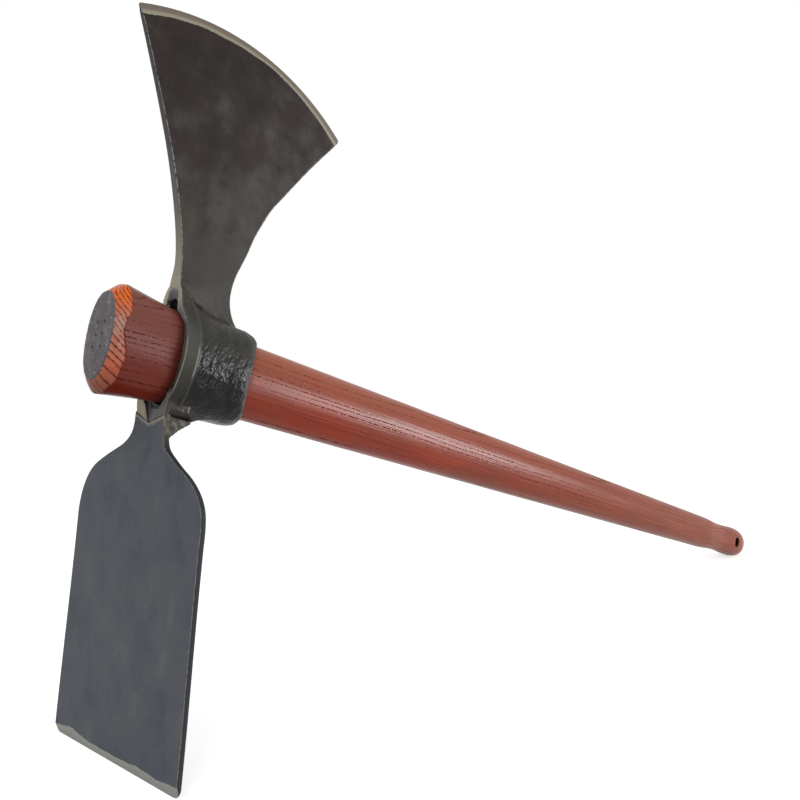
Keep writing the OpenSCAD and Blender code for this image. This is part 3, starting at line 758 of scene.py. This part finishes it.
# %% Hammer marks on the eye
HAMMER_MM, HAMMER_DEEP = 7, 0.26
CRINKLE_MM, CRINKLE_DEEP = 2.8, 0.5
SWELL_MM, SWELL_HIGH = 11, 0.06
CRACK_X, CRACK_Z, CRACK_HALF, CRACK_DEEP = (23.0, 45.0), 28.5, 0.5, 0.7
LUMP, LUMP_PROUD = (45.0, 29.5), 0.6
FOOT_FILL = 1.6
at, out = points_of(eye), normals_of(eye)
x, y, z = at.T
radial = np.column_stack([np.zeros(len(at)), y, z * 0.45])
radial /= np.maximum(np.linalg.norm(radial, axis=1), 1e-6)[:, None]
outside = np.clip(np.einsum("ij,ij->i", radial, out) * 2, 0, 1)

on_collar = outside * rising(x, 15, 5) * falling(z, 34, 4) * rising(z, -31, 4)
stroke = np.column_stack([x * 0.87 - z * 0.5, y, 0.42 * (x * 0.5 + z * 0.87)])
crinkle = np.abs(waves(stroke, CRINKLE_MM, 3, 7.0))
crinkle_deep = (CRINKLE_DEEP - 0.3 * rising(z, 4, 12)) * (1 - 0.7 * falling(z, -12, 8))
hammered = on_collar * (HAMMER_DEEP * waves(at, HAMMER_MM, 2, 1.0) - crinkle_deep * crinkle)
hammered += SWELL_HIGH * outside * waves(at, SWELL_MM, 2, 3.0)

crack_line = CRACK_Z + 0.5 * np.sin(x / 2.3)
crack_run = rising(x, CRACK_X[0], 3) * falling(x, CRACK_X[1], 3)
crack_and_shade = outside * crack_run * hump(z, crack_line, CRACK_HALF)
lump = outside * hump(x, LUMP[0], 1.4) * hump(z, LUMP[1], 1.0)
at_foot = rising(z, 25, 4) * falling(x, 34, 10)
fill = FOOT_FILL * at_foot * np.clip(-bending(eye, 30), 0, 1.5)
press(eye, hammered - CRACK_DEEP * crack_and_shade + LUMP_PROUD * lump + fill)
print("deepest hammer mark:", round(-hammered.min(), 2), "mm")

# %% [markdown]
# ## The forks
# In front, the eye opens into two forks. The upper one ends in an arch that was scooped out, with a
# gap over the handle that is painted black as its shadow, and the far leg of the lower one was spread
# outwards. Each point then keeps what its surface is: filed fork face, dish with painted light, worn
# edge, crease and rims with a painted highlight, lump, and the crack with painted shadow in the gaps.
# How sharply the surface bends is kept too, because bare metal shows where edges rub.

# %% Forks of the eye
EYE_FRONT, AXE_FRONT, CREASE_X = 8.0, 4.5, 15.0
ARCH = {"middle": 0.4, "top": 37.5, "radius": 4.4, "fade": 0.9}
GAP = {"middle": 2.3, "top": 33.0, "radius": 2.9, "fade": 0.7}
ARCH_DEEP, GAP_DEEP, LEG_OUT = 1.5, 2.0, 2.4
aside = np.abs(y)
fork_front = EYE_FRONT - (EYE_FRONT - AXE_FRONT) * rising(z, 22, 14) - neck_lead(z)
behind_front = x - fork_front


def scoop(middle, top, radius, fade):
    """1 inside an arch on the upper fork, which is round at its top and open below."""
    gap = np.hypot(y - middle, np.maximum(z - top + radius, 0))
    return falling(gap, radius, fade) * rising(z, 22, 4) * falling(x, 12, 2)


arch, shadow_gap = scoop(**ARCH), scoop(**GAP)
deep_in_shade = rising(behind_front, 1.3, 0.8) * falling(x, 24, 3) * falling(aside, 6, 1)
deep_in_shade *= falling(z, 33.5, 1.5) * rising(z, 20, 3)
low_round = aside + 0.9 * np.clip(-26 - z, 0, None)
low_gap_shade = falling(low_round, 8, 2) * rising(z, -29.8, 1.5) * falling(z, -18, 2)
low_slit = falling(aside, 9, 2) * falling(z, -21, 3)
low_depth = falling(x, 18, 4) * rising(x, 8.5, 0.5)
far_leg = rising(y, 6, 5) * falling(z, -15, 6) * rising(z, -33, 8) * falling(x, 16, 5)
scooped = points_of(eye)
scooped[:, 0] += ARCH_DEEP * arch * falling(z, ARCH["top"], 6) + GAP_DEEP * shadow_gap
scooped[:, 1] += LEG_OUT * far_leg
move_points(eye, scooped)

facing_back = normals_of(eye)[:, 0]
on_fork = rising(-facing_back, 0.5, 0.3) * falling(x, 13, 3) * rising(np.abs(z), 17, 5)
dished = on_fork * rising(behind_front, 0.35, 0.4)
# painted highlight: thin bright lines are painted along the crease and the front and rear rims
front_rim_highlight = outside * hump(x, EYE_FRONT + 0.35, 0.28) * rising(z, -22, 5) * falling(z, 14, 6)
rear_rim_highlight = hump(facing_back, 0.6, 0.2) * rising(x, 46, 4) * rising(z, -20, 6) * falling(z, 10, 5)
crease = outside * hump(x, CREASE_X, 0.45) * rising(z, -13, 6) * falling(z, 10, 5)
store(eye, "proud", bending(eye, 3))
store(eye, "fork_face", on_fork * falling(behind_front, 0.75, 0.4))
# partly painted light: the blued dishes and the slit's inner walls are marked to be painted lighter against their
# shade
store(eye, "dish", np.maximum.reduce([arch, low_slit * low_depth, dished]))
store(eye, "crease", np.maximum.reduce([0.8 * crease, 0.7 * front_rim_highlight, 0.5 * rear_rim_highlight]))
# a real crack plus painted shadow: the gaps over the handle and deep in the slits are painted black
store(eye, "crack_and_shade", np.maximum.reduce([crack_and_shade, shadow_gap, deep_in_shade, low_gap_shade * low_depth]))
store(eye, "lump", lump)
print("share of filed fork face:", round(float(on_fork.mean()), 3))

# %% [markdown]
# ## Black lacquered forging
# The eye is steel, hammered hot and dipped in black lacquer. The lacquer is glossy on the side of the
# collar, so the hammer marks sparkle where the lamp is mirrored. Higher up it is thin and dull, and
# fades into brown-black forge scale at the axe's root. The front lip of the collar is painted paler,
# with painted light at mid height and painted shade towards the bottom. The front faces of the forks
# were filed clean and are a warm grey, the dishes in them are blue from the heat and painted lighter
# against their shade, and edges are worn bright. The crease and rims carry a painted highlight, and the
# gaps over the handle are painted black as shadow.

# %% Black lacquer over hammered steel
BLACK = [(0.3, "#09090a"), (0.55, "#0d0c0e"), (0.75, "#141416")]
DULL_BLACK = [(0.3, "#262522"), (0.55, "#2f2e2b"), (0.75, "#3a3934")]
FORGE_SCALE = [(0.3, "#2b2723"), (0.55, "#35312c"), (0.75, "#403c36")]
CHEEK_LIT_AND_SHADED = [(0.0, "#28241f"), (0.3, "#3c3a33"), (0.55, "#51514b"), (0.8, "#494a46"), (1.0, "#3b3b38")]
FILED = [(0.0, "#5f605e"), (1.0, "#a69f8c")]
CLOUD_MM, CHIP_MM, PEBBLE_MM = 14, 1.5, 1.3
lacquer, add, shader, mm = new_material("black_lacquer_on_hammered_steel")
apart = add("SeparateXYZ", [mm]).node.outputs
cloud = add("TexNoise", {"Vector": mm, "Scale": 1 / CLOUD_MM, "Detail": 5.0})
colour, scale, axe_tone = [add("ValToRGB", [cloud], stops=s) for s in (BLACK, DULL_BLACK, FORGE_SCALE)]
dull = add("MapRange", [apart[2], -8.0, 20.0], interpolation_type="SMOOTHSTEP")
# the front lip is painted paler, brightest at mid height as painted light and darker towards the bottom as painted
# shade
cheek = add("MapRange", [apart[0], 14.0, 17.0, 0.85, 0.0])
cheek_high = add("MapRange", [apart[2], -22.0, 22.0])
cheek_light_and_shade = add("ValToRGB", [cheek_high], stops=CHEEK_LIT_AND_SHADED)
axe_root = add("MapRange", [apart[2], 18.0, 34.0], interpolation_type="SMOOTHSTEP")
adze_root = add("MapRange", [apart[2], -22.0, -27.0])
root_ahead = add("MapRange", [apart[0], 24.0, 20.0])
adze_root = add("Math", [adze_root, root_ahead], "MULTIPLY")
far_fork = add("MapRange", [apart[1], -2.0, 6.0])
high_fork = add("MapRange", [apart[2], 24.0, 32.0, 0, 0.7])
far_fork = add("Math", [far_fork, high_fork], "MAXIMUM")
filed = add("ValToRGB", [far_fork], stops=FILED)
fork, dish, proud, lump, crease, crack_and_shade = [
    add("Attribute", out="Fac", attribute_name=name)
    for name in ("fork_face", "dish", "proud", "lump", "crease", "crack_and_shade")]
# worn edges and lumps, plus the painted highlight lines, all in a worn-steel colour
wear_and_highlight = add("MapRange", [proud, 0.07, 0.25])
chips = add("TexNoise", {"Vector": mm, "Scale": 1 / CHIP_MM, "Detail": 3.0})
chips = add("MapRange", [chips, 0.4, 0.58])
wear_and_highlight = add("Math", [wear_and_highlight, chips], "MULTIPLY")
wear_and_highlight = add("Math", [wear_and_highlight, lump], "MAXIMUM")
wear_and_highlight = add("Math", [wear_and_highlight, crease], "MAXIMUM")
# the crack and the painted shadow in the gaps are painted near black
crack_and_shade = add("MapRange", [crack_and_shade, 0.25, 0.6])
# the dishes get a lighter blue-grey than their shade would give, as painted light
for share, tint in (
        (dull, scale), (cheek, cheek_light_and_shade), (axe_root, axe_tone), (adze_root, "#2d2721"),
        (fork, filed), (dish, "#6a6b6f"), (wear_and_highlight, "#8f8d86"), (crack_and_shade, "#060606")):
    colour = add("Mix", {0: share, 6: colour, 7: tint}, out=2, data_type="RGBA")
rough = add("MapRange", {0: dull, 3: 0.26, 4: 0.46})
rough = add("Math", [fork, 0.3, rough], "MULTIPLY_ADD")
pebble = add("TexNoise", {"Vector": mm, "Scale": 1 / PEBBLE_MM, "Detail": 4.0})
relief = add("Bump", {"Strength": 0.2, "Distance": 0.0003, "Height": pebble})
feed(shader, {"Base Color": colour, "Roughness": rough, "Specular IOR Level": 0.17, "Normal": relief})
set_down(eye, 60, lacquer)
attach(eye, "head")
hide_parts("eye_socket")
print("lacquer on the eye:", lacquer.name)

# %% [markdown]
# ## The axe plate
# The axe is a forged plate that thins from the eye to its curved edge. Its face is a Coons patch: two
# side curves, the straight foot and the edge's arc are blended into one grid, and two such grids make
# a closed plate. The rows crowd together at the edge, where the grinder left two narrow facets whose
# inner border wanders a little. The plate's arrises are rounded by half a millimetre, which is what
# catches the light along them, and its horns are blunted by a millimetre or two.

# %% Outline of the axe plate
AXE_REAR, AXE_BASE_Z, AXE_NECK_Z = 39.5, 44.0, 48.0
FRONT_HORN, REAR_HORN = np.array([-55.6, 174.0]), np.array([98.0, 169.0])
FRONT_SLOPE, REAR_SLOPE, HORN_RUN = math.radians(31), math.radians(36), 60.0
FRONT_RUN, REAR_RUN = 22.0, 30.0
AXE_FILLET, COLLAR_WALL, EYE_CLEAR = 24.0, 5.6, 0.3


def bezier(a, b, c, d, count):
    """Points on a cubic curve between a and d."""
    k = np.linspace(0, 1, count)[:, None]
    m = 1 - k
    return m ** 3 * a + 3 * m * m * k * b + 3 * m * k * k * c + k ** 3 * d


def blade_side(foot_x, run, way, horn):
    """A side of the axe: straight up from the neck, then out along its way to the horn."""
    foot = np.array([foot_x, AXE_NECK_Z])
    return bezier(foot, foot + [0, run], horn - HORN_RUN * np.array(way), horn, 60)


fillet_x, fillet_z = AXE_REAR + AXE_FILLET, AXE_NECK_Z - 1
collar_top = shaft_size(fillet_x, 0) / 2 + EYE_CLEAR + COLLAR_WALL
curl = np.linspace(math.asin((fillet_z - collar_top + 1) / AXE_FILLET), 0, 14)
fillet = np.column_stack([fillet_x - AXE_FILLET * np.cos(curl), fillet_z - AXE_FILLET * np.sin(curl)])
front_way = (-math.sin(FRONT_SLOPE), math.cos(FRONT_SLOPE))
rear_way = (math.sin(REAR_SLOPE), math.cos(REAR_SLOPE))
front_side = blade_side(AXE_FRONT, FRONT_RUN, front_way, FRONT_HORN)
front_side = np.concatenate([[[AXE_FRONT, AXE_BASE_Z]], front_side])
rear_side = np.concatenate([fillet, blade_side(AXE_REAR, REAR_RUN, rear_way, REAR_HORN)])
print("axe from horn to horn:", round(float(np.linalg.norm(REAR_HORN - FRONT_HORN)), 1), "mm")

# %% Plate helpers
ARRIS = 0.5


def along_path(path, shares):
    """Points at the given shares of a path's length."""
    run = np.concatenate([[0], np.cumsum(np.linalg.norm(np.diff(path, axis=0), axis=1))])
    return np.column_stack([np.interp(shares * run[-1], run, path[:, i]) for i in range(path.shape[1])])


def edge_insets(columns, width):
    """Shares across a plate: a few close columns round each arris and even ones between."""
    close = np.array([0, 0.06, 0.16, 0.32, ARRIS, 1.2]) / width
    return np.concatenate([close, np.linspace(close[-1], 1 - close[-1], columns)[1:-1], 1 - close[::-1]])


def round_off(gap, radius):
    """How much a rounded edge falls away, by the distance to it."""
    return radius * (1 - np.sqrt(1 - np.clip(1 - gap / radius, 0, 1) ** 2))


def plate(front, back):
    """Points and faces of a closed plate between two grids of the same rows and columns."""
    rows, columns = front.shape[:2]
    count = rows * columns
    points = np.concatenate([front.reshape(-1, 3), back.reshape(-1, 3)])
    faces = []
    for r in range(rows - 1):
        for c in range(columns - 1):
            a, b = r * columns + c, (r + 1) * columns + c
            faces.append((a, a + 1, b + 1, b))
            faces.append((count + a, count + b, count + b + 1, count + a + 1))
    rim = [(0, c) for c in range(columns - 1)] + [(r, columns - 1) for r in range(rows - 1)]
    rim += [(rows - 1, c) for c in range(columns - 1, 0, -1)] + [(r, 0) for r in range(rows - 1, 0, -1)]
    flat = [r * columns + c for r, c in rim]
    for a, b in zip(flat, flat[1:] + flat[:1]):
        faces.append((a, count + a, count + b, b))
    return points, faces


print("an arris falls away by", round_off(np.array([0.0, ARRIS]), ARRIS), "mm")

# %% Face of the axe
AXE_EDGE_R, TIP_ROUND = 163.0, (1.0, 2.0)
AXE_SIDE_LEN, AXE_EDGE_LEN, AXE_WIDE = 140, 165.0, 150.0
rows = np.concatenate([np.linspace(0, 0.93, 56), np.linspace(0.932, 1, 34)])
cols = edge_insets(150, AXE_WIDE)
left = along_path(front_side, rows * (1 - TIP_ROUND[0] / AXE_SIDE_LEN))
right_side = along_path(rear_side, rows * (1 - TIP_ROUND[1] / AXE_SIDE_LEN))
chord = REAR_HORN - FRONT_HORN
chord_len = np.linalg.norm(chord)
inward = np.array([chord[1], -chord[0]]) / chord_len
edge_centre = (FRONT_HORN + REAR_HORN) / 2 + inward * math.sqrt(AXE_EDGE_R ** 2 - (chord_len / 2) ** 2)
start, end = [math.atan2(*(horn - edge_centre)[::-1]) for horn in (FRONT_HORN, REAR_HORN)]
bow = start + cols * (end - start)
tip_cut = sum(round_off(share * AXE_EDGE_LEN, r) for share, r in zip((cols, 1 - cols), TIP_ROUND))
top = edge_centre + (AXE_EDGE_R - tip_cut)[:, None] * np.column_stack([np.cos(bow), np.sin(bow)])
base_line = left[0] + cols[:, None] * (right_side[0] - left[0])
u, v = cols[None, :, None], rows[:, None, None]
grid = (1 - u) * left[:, None] + u * right_side[:, None] + (1 - v) * base_line[None] + v * top[None]
grid -= (1 - u) * (1 - v) * left[0] + u * (1 - v) * right_side[0] + (1 - u) * v * top[0] + u * v * top[-1]
print("axe plate grid:", grid.shape[:2])

# %% Thickness of the axe
AXE_BEVEL, EDGE_LAND = 4.2, 0.3
AXE_ROOT_T, AXE_EDGE_T = 6.6, 2.6
NO_SEAM = 99.0  # a distance that is too large to show any seam
from_edge = AXE_EDGE_R - np.linalg.norm(grid - edge_centre, axis=2)
ground = 1.28 + 0.05 * np.sin(cols * 17 + 1) + 0.03 * np.sin(cols * 41)
ground += 0.3 * rising(cols, 0.75, 0.25) - 0.12 * hump(cols, 0.55, 0.2)
gap = np.maximum(from_edge, 0) / (AXE_BEVEL * ground[None, :])
thin = np.clip((grid[:, :, 1] - AXE_NECK_Z) / (REAR_HORN[1] - AXE_NECK_Z), 0, 1)
half = AXE_ROOT_T / 2 + (AXE_EDGE_T - AXE_ROOT_T) / 2 * thin
facet = np.interp(gap, [0, 0.6, 1.0], [EDGE_LAND / 2, 0.7 * AXE_EDGE_T / 2, AXE_EDGE_T / 2])
half = np.minimum(half, np.where(gap < 1, facet, half))
width = np.linalg.norm(right_side - left, axis=1)
inset = np.minimum(cols, 1 - cols)[None, :] * width[:, None]
half = np.maximum(half - round_off(inset, ARRIS), EDGE_LAND / 2)
sheets = [np.dstack([grid[:, :, 0], side * half, grid[:, :, 1]]) for side in (-1, 1)]
axe_points, axe_faces = plate(*sheets)
axe = new_piece("axe_plate", drawn_out(axe_points), axe_faces)
store(axe, "edge_gap", np.tile(gap.ravel(), 2))
store(axe, "side_inset", np.tile(inset.ravel(), 2))
store(axe, "seam_gap", np.full(len(axe_points), NO_SEAM))
print("axe thickness:", round(2 * half.min(), 2), "to", round(2 * half.max(), 2), "mm")

# %% [markdown]
# ## The adze plate
# The adze is rolled plate, cut to a shovel shape and bent back slightly at the neck, so that it meets
# the root of the eye. Its half width is read from the same arcs as the solid. The shoulders were cut
# by hand, so each is a millimetre or two off, and one corner of the edge is worn rounder than the
# other. Only the outer face is ground, as on every adze, so its edge lies on the back face. The neck
# ends in the V of the weld seam.

# %% Outline of the adze plate
ADZE_LEAN, ADZE_REACH, ADZE_W = math.radians(8.6), 220.0, 118.0
NECK_HALF, NECK_END, NECK_R = 14.0, 37.0, 18.0
SHOULDER_R, SHOULDER_SLOPE = 35.0, math.radians(29)
turn = np.linspace(0, math.pi / 2 - SHOULDER_SLOPE, 24)
hollow = np.column_stack([NECK_END + NECK_R * np.sin(turn), NECK_HALF + NECK_R * (1 - np.cos(turn))])
round_y = ADZE_W / 2 - SHOULDER_R * (1 - math.cos(turn[-1]))
round_s = hollow[-1, 0] + (round_y - hollow[-1, 1]) * math.tan(SHOULDER_SLOPE)
round_s += SHOULDER_R * math.sin(turn[-1])
back_turn = turn[::-1]
shoulder = np.column_stack([round_s - SHOULDER_R * np.sin(back_turn),
                            ADZE_W / 2 - SHOULDER_R * (1 - np.cos(back_turn))])
side_curve = np.concatenate([[[0, NECK_HALF]], hollow, shoulder, [[ADZE_REACH, ADZE_W / 2]]])
print("the adze is full width from", round(round_s, 1), "mm")

# %% Face of the adze
SEAM_Z, SEAM_V, SEAM_FADE = 32.3, 5.0, 52.0
NEAR_CORNER, FAR_CORNER, SIDE_FLARE = 6.0, 1.4, 1.2
FIRST_ROW, FLAT_ROW, EDGE_ROW = 33, 100, 208

cols = edge_insets(100, ADZE_W)
signed = 2 * cols - 1
stations = np.concatenate([np.arange(FIRST_ROW, FLAT_ROW, 1.25), np.arange(FLAT_ROW, EDGE_ROW, 3.0),
                           np.linspace(EDGE_ROW, ADZE_REACH, 34)])
seam = (SEAM_Z + SEAM_V * (1 - np.abs(signed))) / math.cos(ADZE_LEAN)
to_seam = np.clip((SEAM_FADE - stations) / (SEAM_FADE - FIRST_ROW), 0, 1)
s = stations[:, None] + (seam - FIRST_ROW)[None, :] * to_seam[:, None]
half_w = np.interp(s, side_curve[:, 0], side_curve[:, 1]) + SIDE_FLARE * rising(s, 110, 100)
corner_r = np.where(signed > 0, FAR_CORNER, NEAR_CORNER)[None, :]
half_w -= round_off(ADZE_REACH - s, corner_r)
inset = np.minimum(cols, 1 - cols)[None, :] * 2 * half_w
y = signed[None, :] * half_w
print("adze plate grid:", s.shape)

# %% Thickness of the adze
ADZE_T, NECK_T, NECK_SET = 3.0, 3.9, 2.6
NECK_FLAT, BEND_END, BEND_SOFT = 46.0, 58.0, 3.0
ADZE_BEVEL, BACK_GAP = 4.6, 3.0
bend = falling(s, BEND_END + BEND_SOFT, BEND_END - NECK_FLAT + 2 * BEND_SOFT)
front_n, back_n = NECK_SET * bend, ADZE_T + (NECK_SET + NECK_T - ADZE_T) * bend
from_left = (ADZE_W / 2 - y) / ADZE_W
ground = 1.15 + 0.5 * hump(from_left, 0.14, 0.09) + 0.25 * hump(from_left, 0.72, 0.1)
ground += 0.35 * hump(from_left, 1, 0.1) + 0.03 * np.sin(y / 2.1)
gap = np.clip((ADZE_REACH - s) / (ADZE_BEVEL * ground), 0, BACK_GAP)
front_n = np.maximum(front_n, (ADZE_T - EDGE_LAND) * (1 - np.clip(gap, 0, 1)))
drop = np.minimum(round_off(inset, ARRIS), (back_n - front_n) / 2 - 0.05)
far_side = 1.8 * hump(s, 62, 14)
near_side = 1.1 * hump(s, 50, 7) - 1.7 * hump(s, 76, 11)
y = y + far_side * (1 + signed) / 2 + near_side * (1 - signed) / 2
lean_sin, lean_cos = math.sin(ADZE_LEAN), math.cos(ADZE_LEAN)
sheets = [np.dstack([s * lean_sin + n * lean_cos, y, -s * lean_cos + n * lean_sin])
          for n in (front_n + drop, back_n - drop)]
adze_points, adze_faces = plate(*sheets)
adze = new_piece("adze_plate", adze_points, adze_faces)
store(adze, "edge_gap", np.concatenate([gap.ravel(), np.full(gap.size, BACK_GAP)]))
store(adze, "side_inset", np.tile(inset.ravel(), 2))
store(adze, "seam_gap", np.tile((s - seam[None, :]).ravel(), 2))
print("points on the adze:", len(adze_points))

# %% [markdown]
# ## Scaled steel with a ground edge
# Both blades kept the oxide skin from the forge and the mill: brown-black on the axe, blue-grey on the
# adze. Oxide isn't a bare metal, so it is a rough, dark, non-metallic surface with soft clouds of
# colour, small pits and scuffs. The ground facets are bare steel, so they are partly metallic and
# brighter, with a ragged border. The rubbed arrises are also painted bright as a highlight line, and
# the axe's skin is painted paler towards its lower rear as a painted sheen. One function makes both,
# from the tones of each skin.

# %% Scaled steel
BLOTCH_MM, PIT_MM, FLUX_MM, RUB_MM, RAGGED_MM = 24, 2.2, 3, 2.5, 1.6
AXE_MIDDLE, AXE_SHEEN_WAY, NO_SHEEN_WAY = (20, 0, 100), (1 / 115, 0, -1 / 95), (0, 0, 0)
SHEEN_SHIFT, BARE_METAL = 0.22, 0.6
FLUX = [(0.4, "#35322b"), (0.65, "#6f6a5c")]


def scaled_steel(name, skin, stain, sides, facet, cloud_mm, sheen_way, rough_skin, rub_highlight_share, brown_foot):
    """Oxide-skinned steel plate with a ground edge, rubbed arrises with a painted highlight, and a painted sheen
    that makes it paler along a way.
    """
    material, add, shader, mm = new_material(name)
    high = add("SeparateXYZ", [mm], out=2)
    seam, side, gap = [add("Attribute", out="Fac", attribute_name=kept)
                       for kept in ("seam_gap", "side_inset", "edge_gap")]
    cloud_at = add("VectorMath", [mm, tuple(1 / v for v in cloud_mm)], "MULTIPLY")
    cloud = add("TexNoise", {"Vector": cloud_at, "Scale": 1.0, "Detail": 6.0, "Roughness": 0.55})
    # painted sheen: the skin is painted paler along a way, towards the lower rear of the axe
    sheen = add("VectorMath", [mm, AXE_MIDDLE], "SUBTRACT")
    sheen = add("VectorMath", [sheen, sheen_way], "DOT_PRODUCT", out="Value")
    sheen = add("MapRange", {0: sheen, 1: -1.0, 3: -SHEEN_SHIFT, 4: SHEEN_SHIFT})
    toned = add("Math", [cloud, sheen], "ADD")
    colour = add("ValToRGB", [toned], stops=skin)

    blotch = add("TexNoise", {"Vector": mm, "Scale": 1 / BLOTCH_MM, "Detail": 5.0})
    blotch = add("MapRange", [blotch, 0.5, 0.7, 0, 0.6])
    foot = add("MapRange", [high, 40.0, 85.0, brown_foot, 0.0])
    pit = add("TexNoise", {"Vector": mm, "Scale": 1 / PIT_MM, "Detail": 4.0, "Roughness": 0.6})
    scuff = add("MapRange", [pit, 0.64, 0.8, 0, 0.2])
    crust = add("Math", [pit, -4.0, seam], "MULTIPLY_ADD")
    crust = add("MapRange", [crust, 1.0, -0.6, 0, 0.85])
    open_seam = add("MapRange", [seam, 0.45, 0.75, 1.0, 0.0])

    on_side = add("MapRange", [side, 0.02, 0.2, 1.0, 0.0])
    side_high = add("MapRange", [high, 30.0, 180.0])
    side_tone = add("ValToRGB", [side_high], stops=sides)
    flux = add("TexNoise", {"Vector": mm, "Scale": 1 / FLUX_MM, "Detail": 4.0})
    flux = add("ValToRGB", [flux], stops=FLUX)
    by_seam = add("MapRange", [seam, 18.0, 8.0])
    by_seam = add("Math", [by_seam, on_side], "MULTIPLY")
    # the arrises are rubbed bare in specks and also painted bright as a highlight line along them
    inner = add("MapRange", [side, 0.12, 0.3])
    outer = add("MapRange", [side, 0.45, 0.9, 1.0, 0.0])
    rub_and_highlight = add("Math", [inner, outer], "MULTIPLY")
    chips = add("TexNoise", {"Vector": mm, "Scale": 1 / RUB_MM, "Detail": 5.0, "Roughness": 0.7})
    chips = add("MapRange", [chips, 0.42, 0.6, 0.08, rub_highlight_share])
    rub_and_highlight = add("Math", [rub_and_highlight, chips], "MULTIPLY")

    ragged = add("TexNoise", {"Vector": mm, "Scale": 1 / RAGGED_MM, "Detail": 3.0})
    ragged = add("Math", [ragged, 0.2, gap], "MULTIPLY_ADD")
    bare = add("MapRange", [ragged, 1.06, 1.12, 1.0, 0.0])
    on_face = add("Math", [1.0, on_side], "SUBTRACT")
    bare = add("Math", [bare, on_face], "MULTIPLY")
    facet_tone = add("ValToRGB", [gap], stops=facet)
    for share, tint in (
            (blotch, stain), (foot, "#35312c"), (scuff, "#77746d"),
            (crust, "#8d887b"), (open_seam, "#0b0a0a"), (on_side, side_tone),
            (by_seam, flux), (rub_and_highlight, "#a19f98"), (bare, facet_tone)):
        colour = add("Mix", {0: share, 6: colour, 7: tint}, out=2, data_type="RGBA")
    metal = add("Math", [bare, BARE_METAL], "MULTIPLY")
    rough = add("MapRange", [pit, 0.3, 0.7, rough_skin - 0.06, rough_skin + 0.08])
    relief = add("Bump", {"Strength": 0.3, "Distance": 0.0002, "Height": pit})
    feed(shader, {"Base Color": colour, "Metallic": metal, "Roughness": rough,
                  "Specular IOR Level": 0.18, "Normal": relief})
    return material


print("pits of", PIT_MM, "mm in clouds of", BLOTCH_MM, "mm")

# %% Skins of both blades
axe_skin = scaled_steel(
    "forge_scale_brown_black",
    skin=[(0.2, "#1a1311"), (0.4, "#27201d"), (0.6, "#3d3a35"), (0.8, "#4a4841")], stain="#2e1e18",
    sides=[(0.0, "#8d8677"), (0.14, "#888174"), (0.32, "#625e57"), (0.55, "#434347"), (1.0, "#3a3a3e")],
    facet=[(0.0, "#6a6056"), (0.57, "#766b60"), (0.64, "#8a8375"), (1.0, "#938d7d")],
    cloud_mm=(17, 17, 17), sheen_way=AXE_SHEEN_WAY, rough_skin=0.48, rub_highlight_share=1.0, brown_foot=0.9)
adze_skin = scaled_steel(
    "mill_scale_blue_grey",
    skin=[(0.3, "#3c4046"), (0.45, "#464a51"), (0.58, "#4b4d52"), (0.75, "#56585b")], stain="#3f454f",
    sides=[(0.0, "#2a2a2d"), (1.0, "#2a2a2d")],
    facet=[(0.0, "#787a74"), (0.6, "#80827c"), (1.0, "#858780")],
    cloud_mm=(17, 17, 26), sheen_way=NO_SHEEN_WAY, rough_skin=0.52, rub_highlight_share=0.55, brown_foot=0.0)
for piece, skin, slot, node in (
        (axe, axe_skin, "axe_scale", "axe_blade"), (adze, adze_skin, "adze_scale", "adze_blade")):
    set_down(piece, 30, skin)
    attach(piece, "head")
    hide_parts(node)
print("scale on both blades:", axe_skin.name, adze_skin.name)

# %% [markdown]
# ## The weld bead
# Behind the adze's neck a weld bead fills the corner under the eye. It is a copy of its solid,
# remeshed, swollen by almost a millimetre and roughened with lumps of a few millimetres. Weld crust is
# pale and crumbly, so the material is a rough mix of dark oxide and light flux, darker behind.

# %% Weld bead
BEAD_VOXEL, BEAD_SWELL, BEAD_LUMP, BEAD_LUMP_MM = 0.4, 0.9, 0.35, 3.2
CRUST = [(0.38, "#26241f"), (0.52, "#403d35"), (0.64, "#6f6a5c"), (0.78, "#979182")]
bead = forged_copy("adze_weld", "neck_weld", BEAD_VOXEL)
at = points_of(bead)
press(bead, BEAD_SWELL + BEAD_LUMP * waves(at, BEAD_LUMP_MM, 3, 5.0))
crust, add, shader, mm = new_material("crusted_weld_steel")
grain = add("TexNoise", {"Vector": mm, "Scale": 1 / FLUX_MM, "Detail": 5.0})
colour = add("ValToRGB", [grain], stops=CRUST)
behind = add("SeparateXYZ", [mm], out=0)
behind = add("MapRange", [behind, 15.0, 24.0, 0, 0.85])
colour = add("Mix", {0: behind, 6: colour, 7: "#2f2f2c"}, out=2, data_type="RGBA")
relief = add("Bump", {"Strength": 0.6, "Distance": 0.0005, "Height": grain})
feed(shader, {"Base Color": colour, "Roughness": 0.7, "Normal": relief})
set_down(bead, 60, crust)
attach(bead, "head")
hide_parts("adze_weld")
print("points on the weld:", len(at))
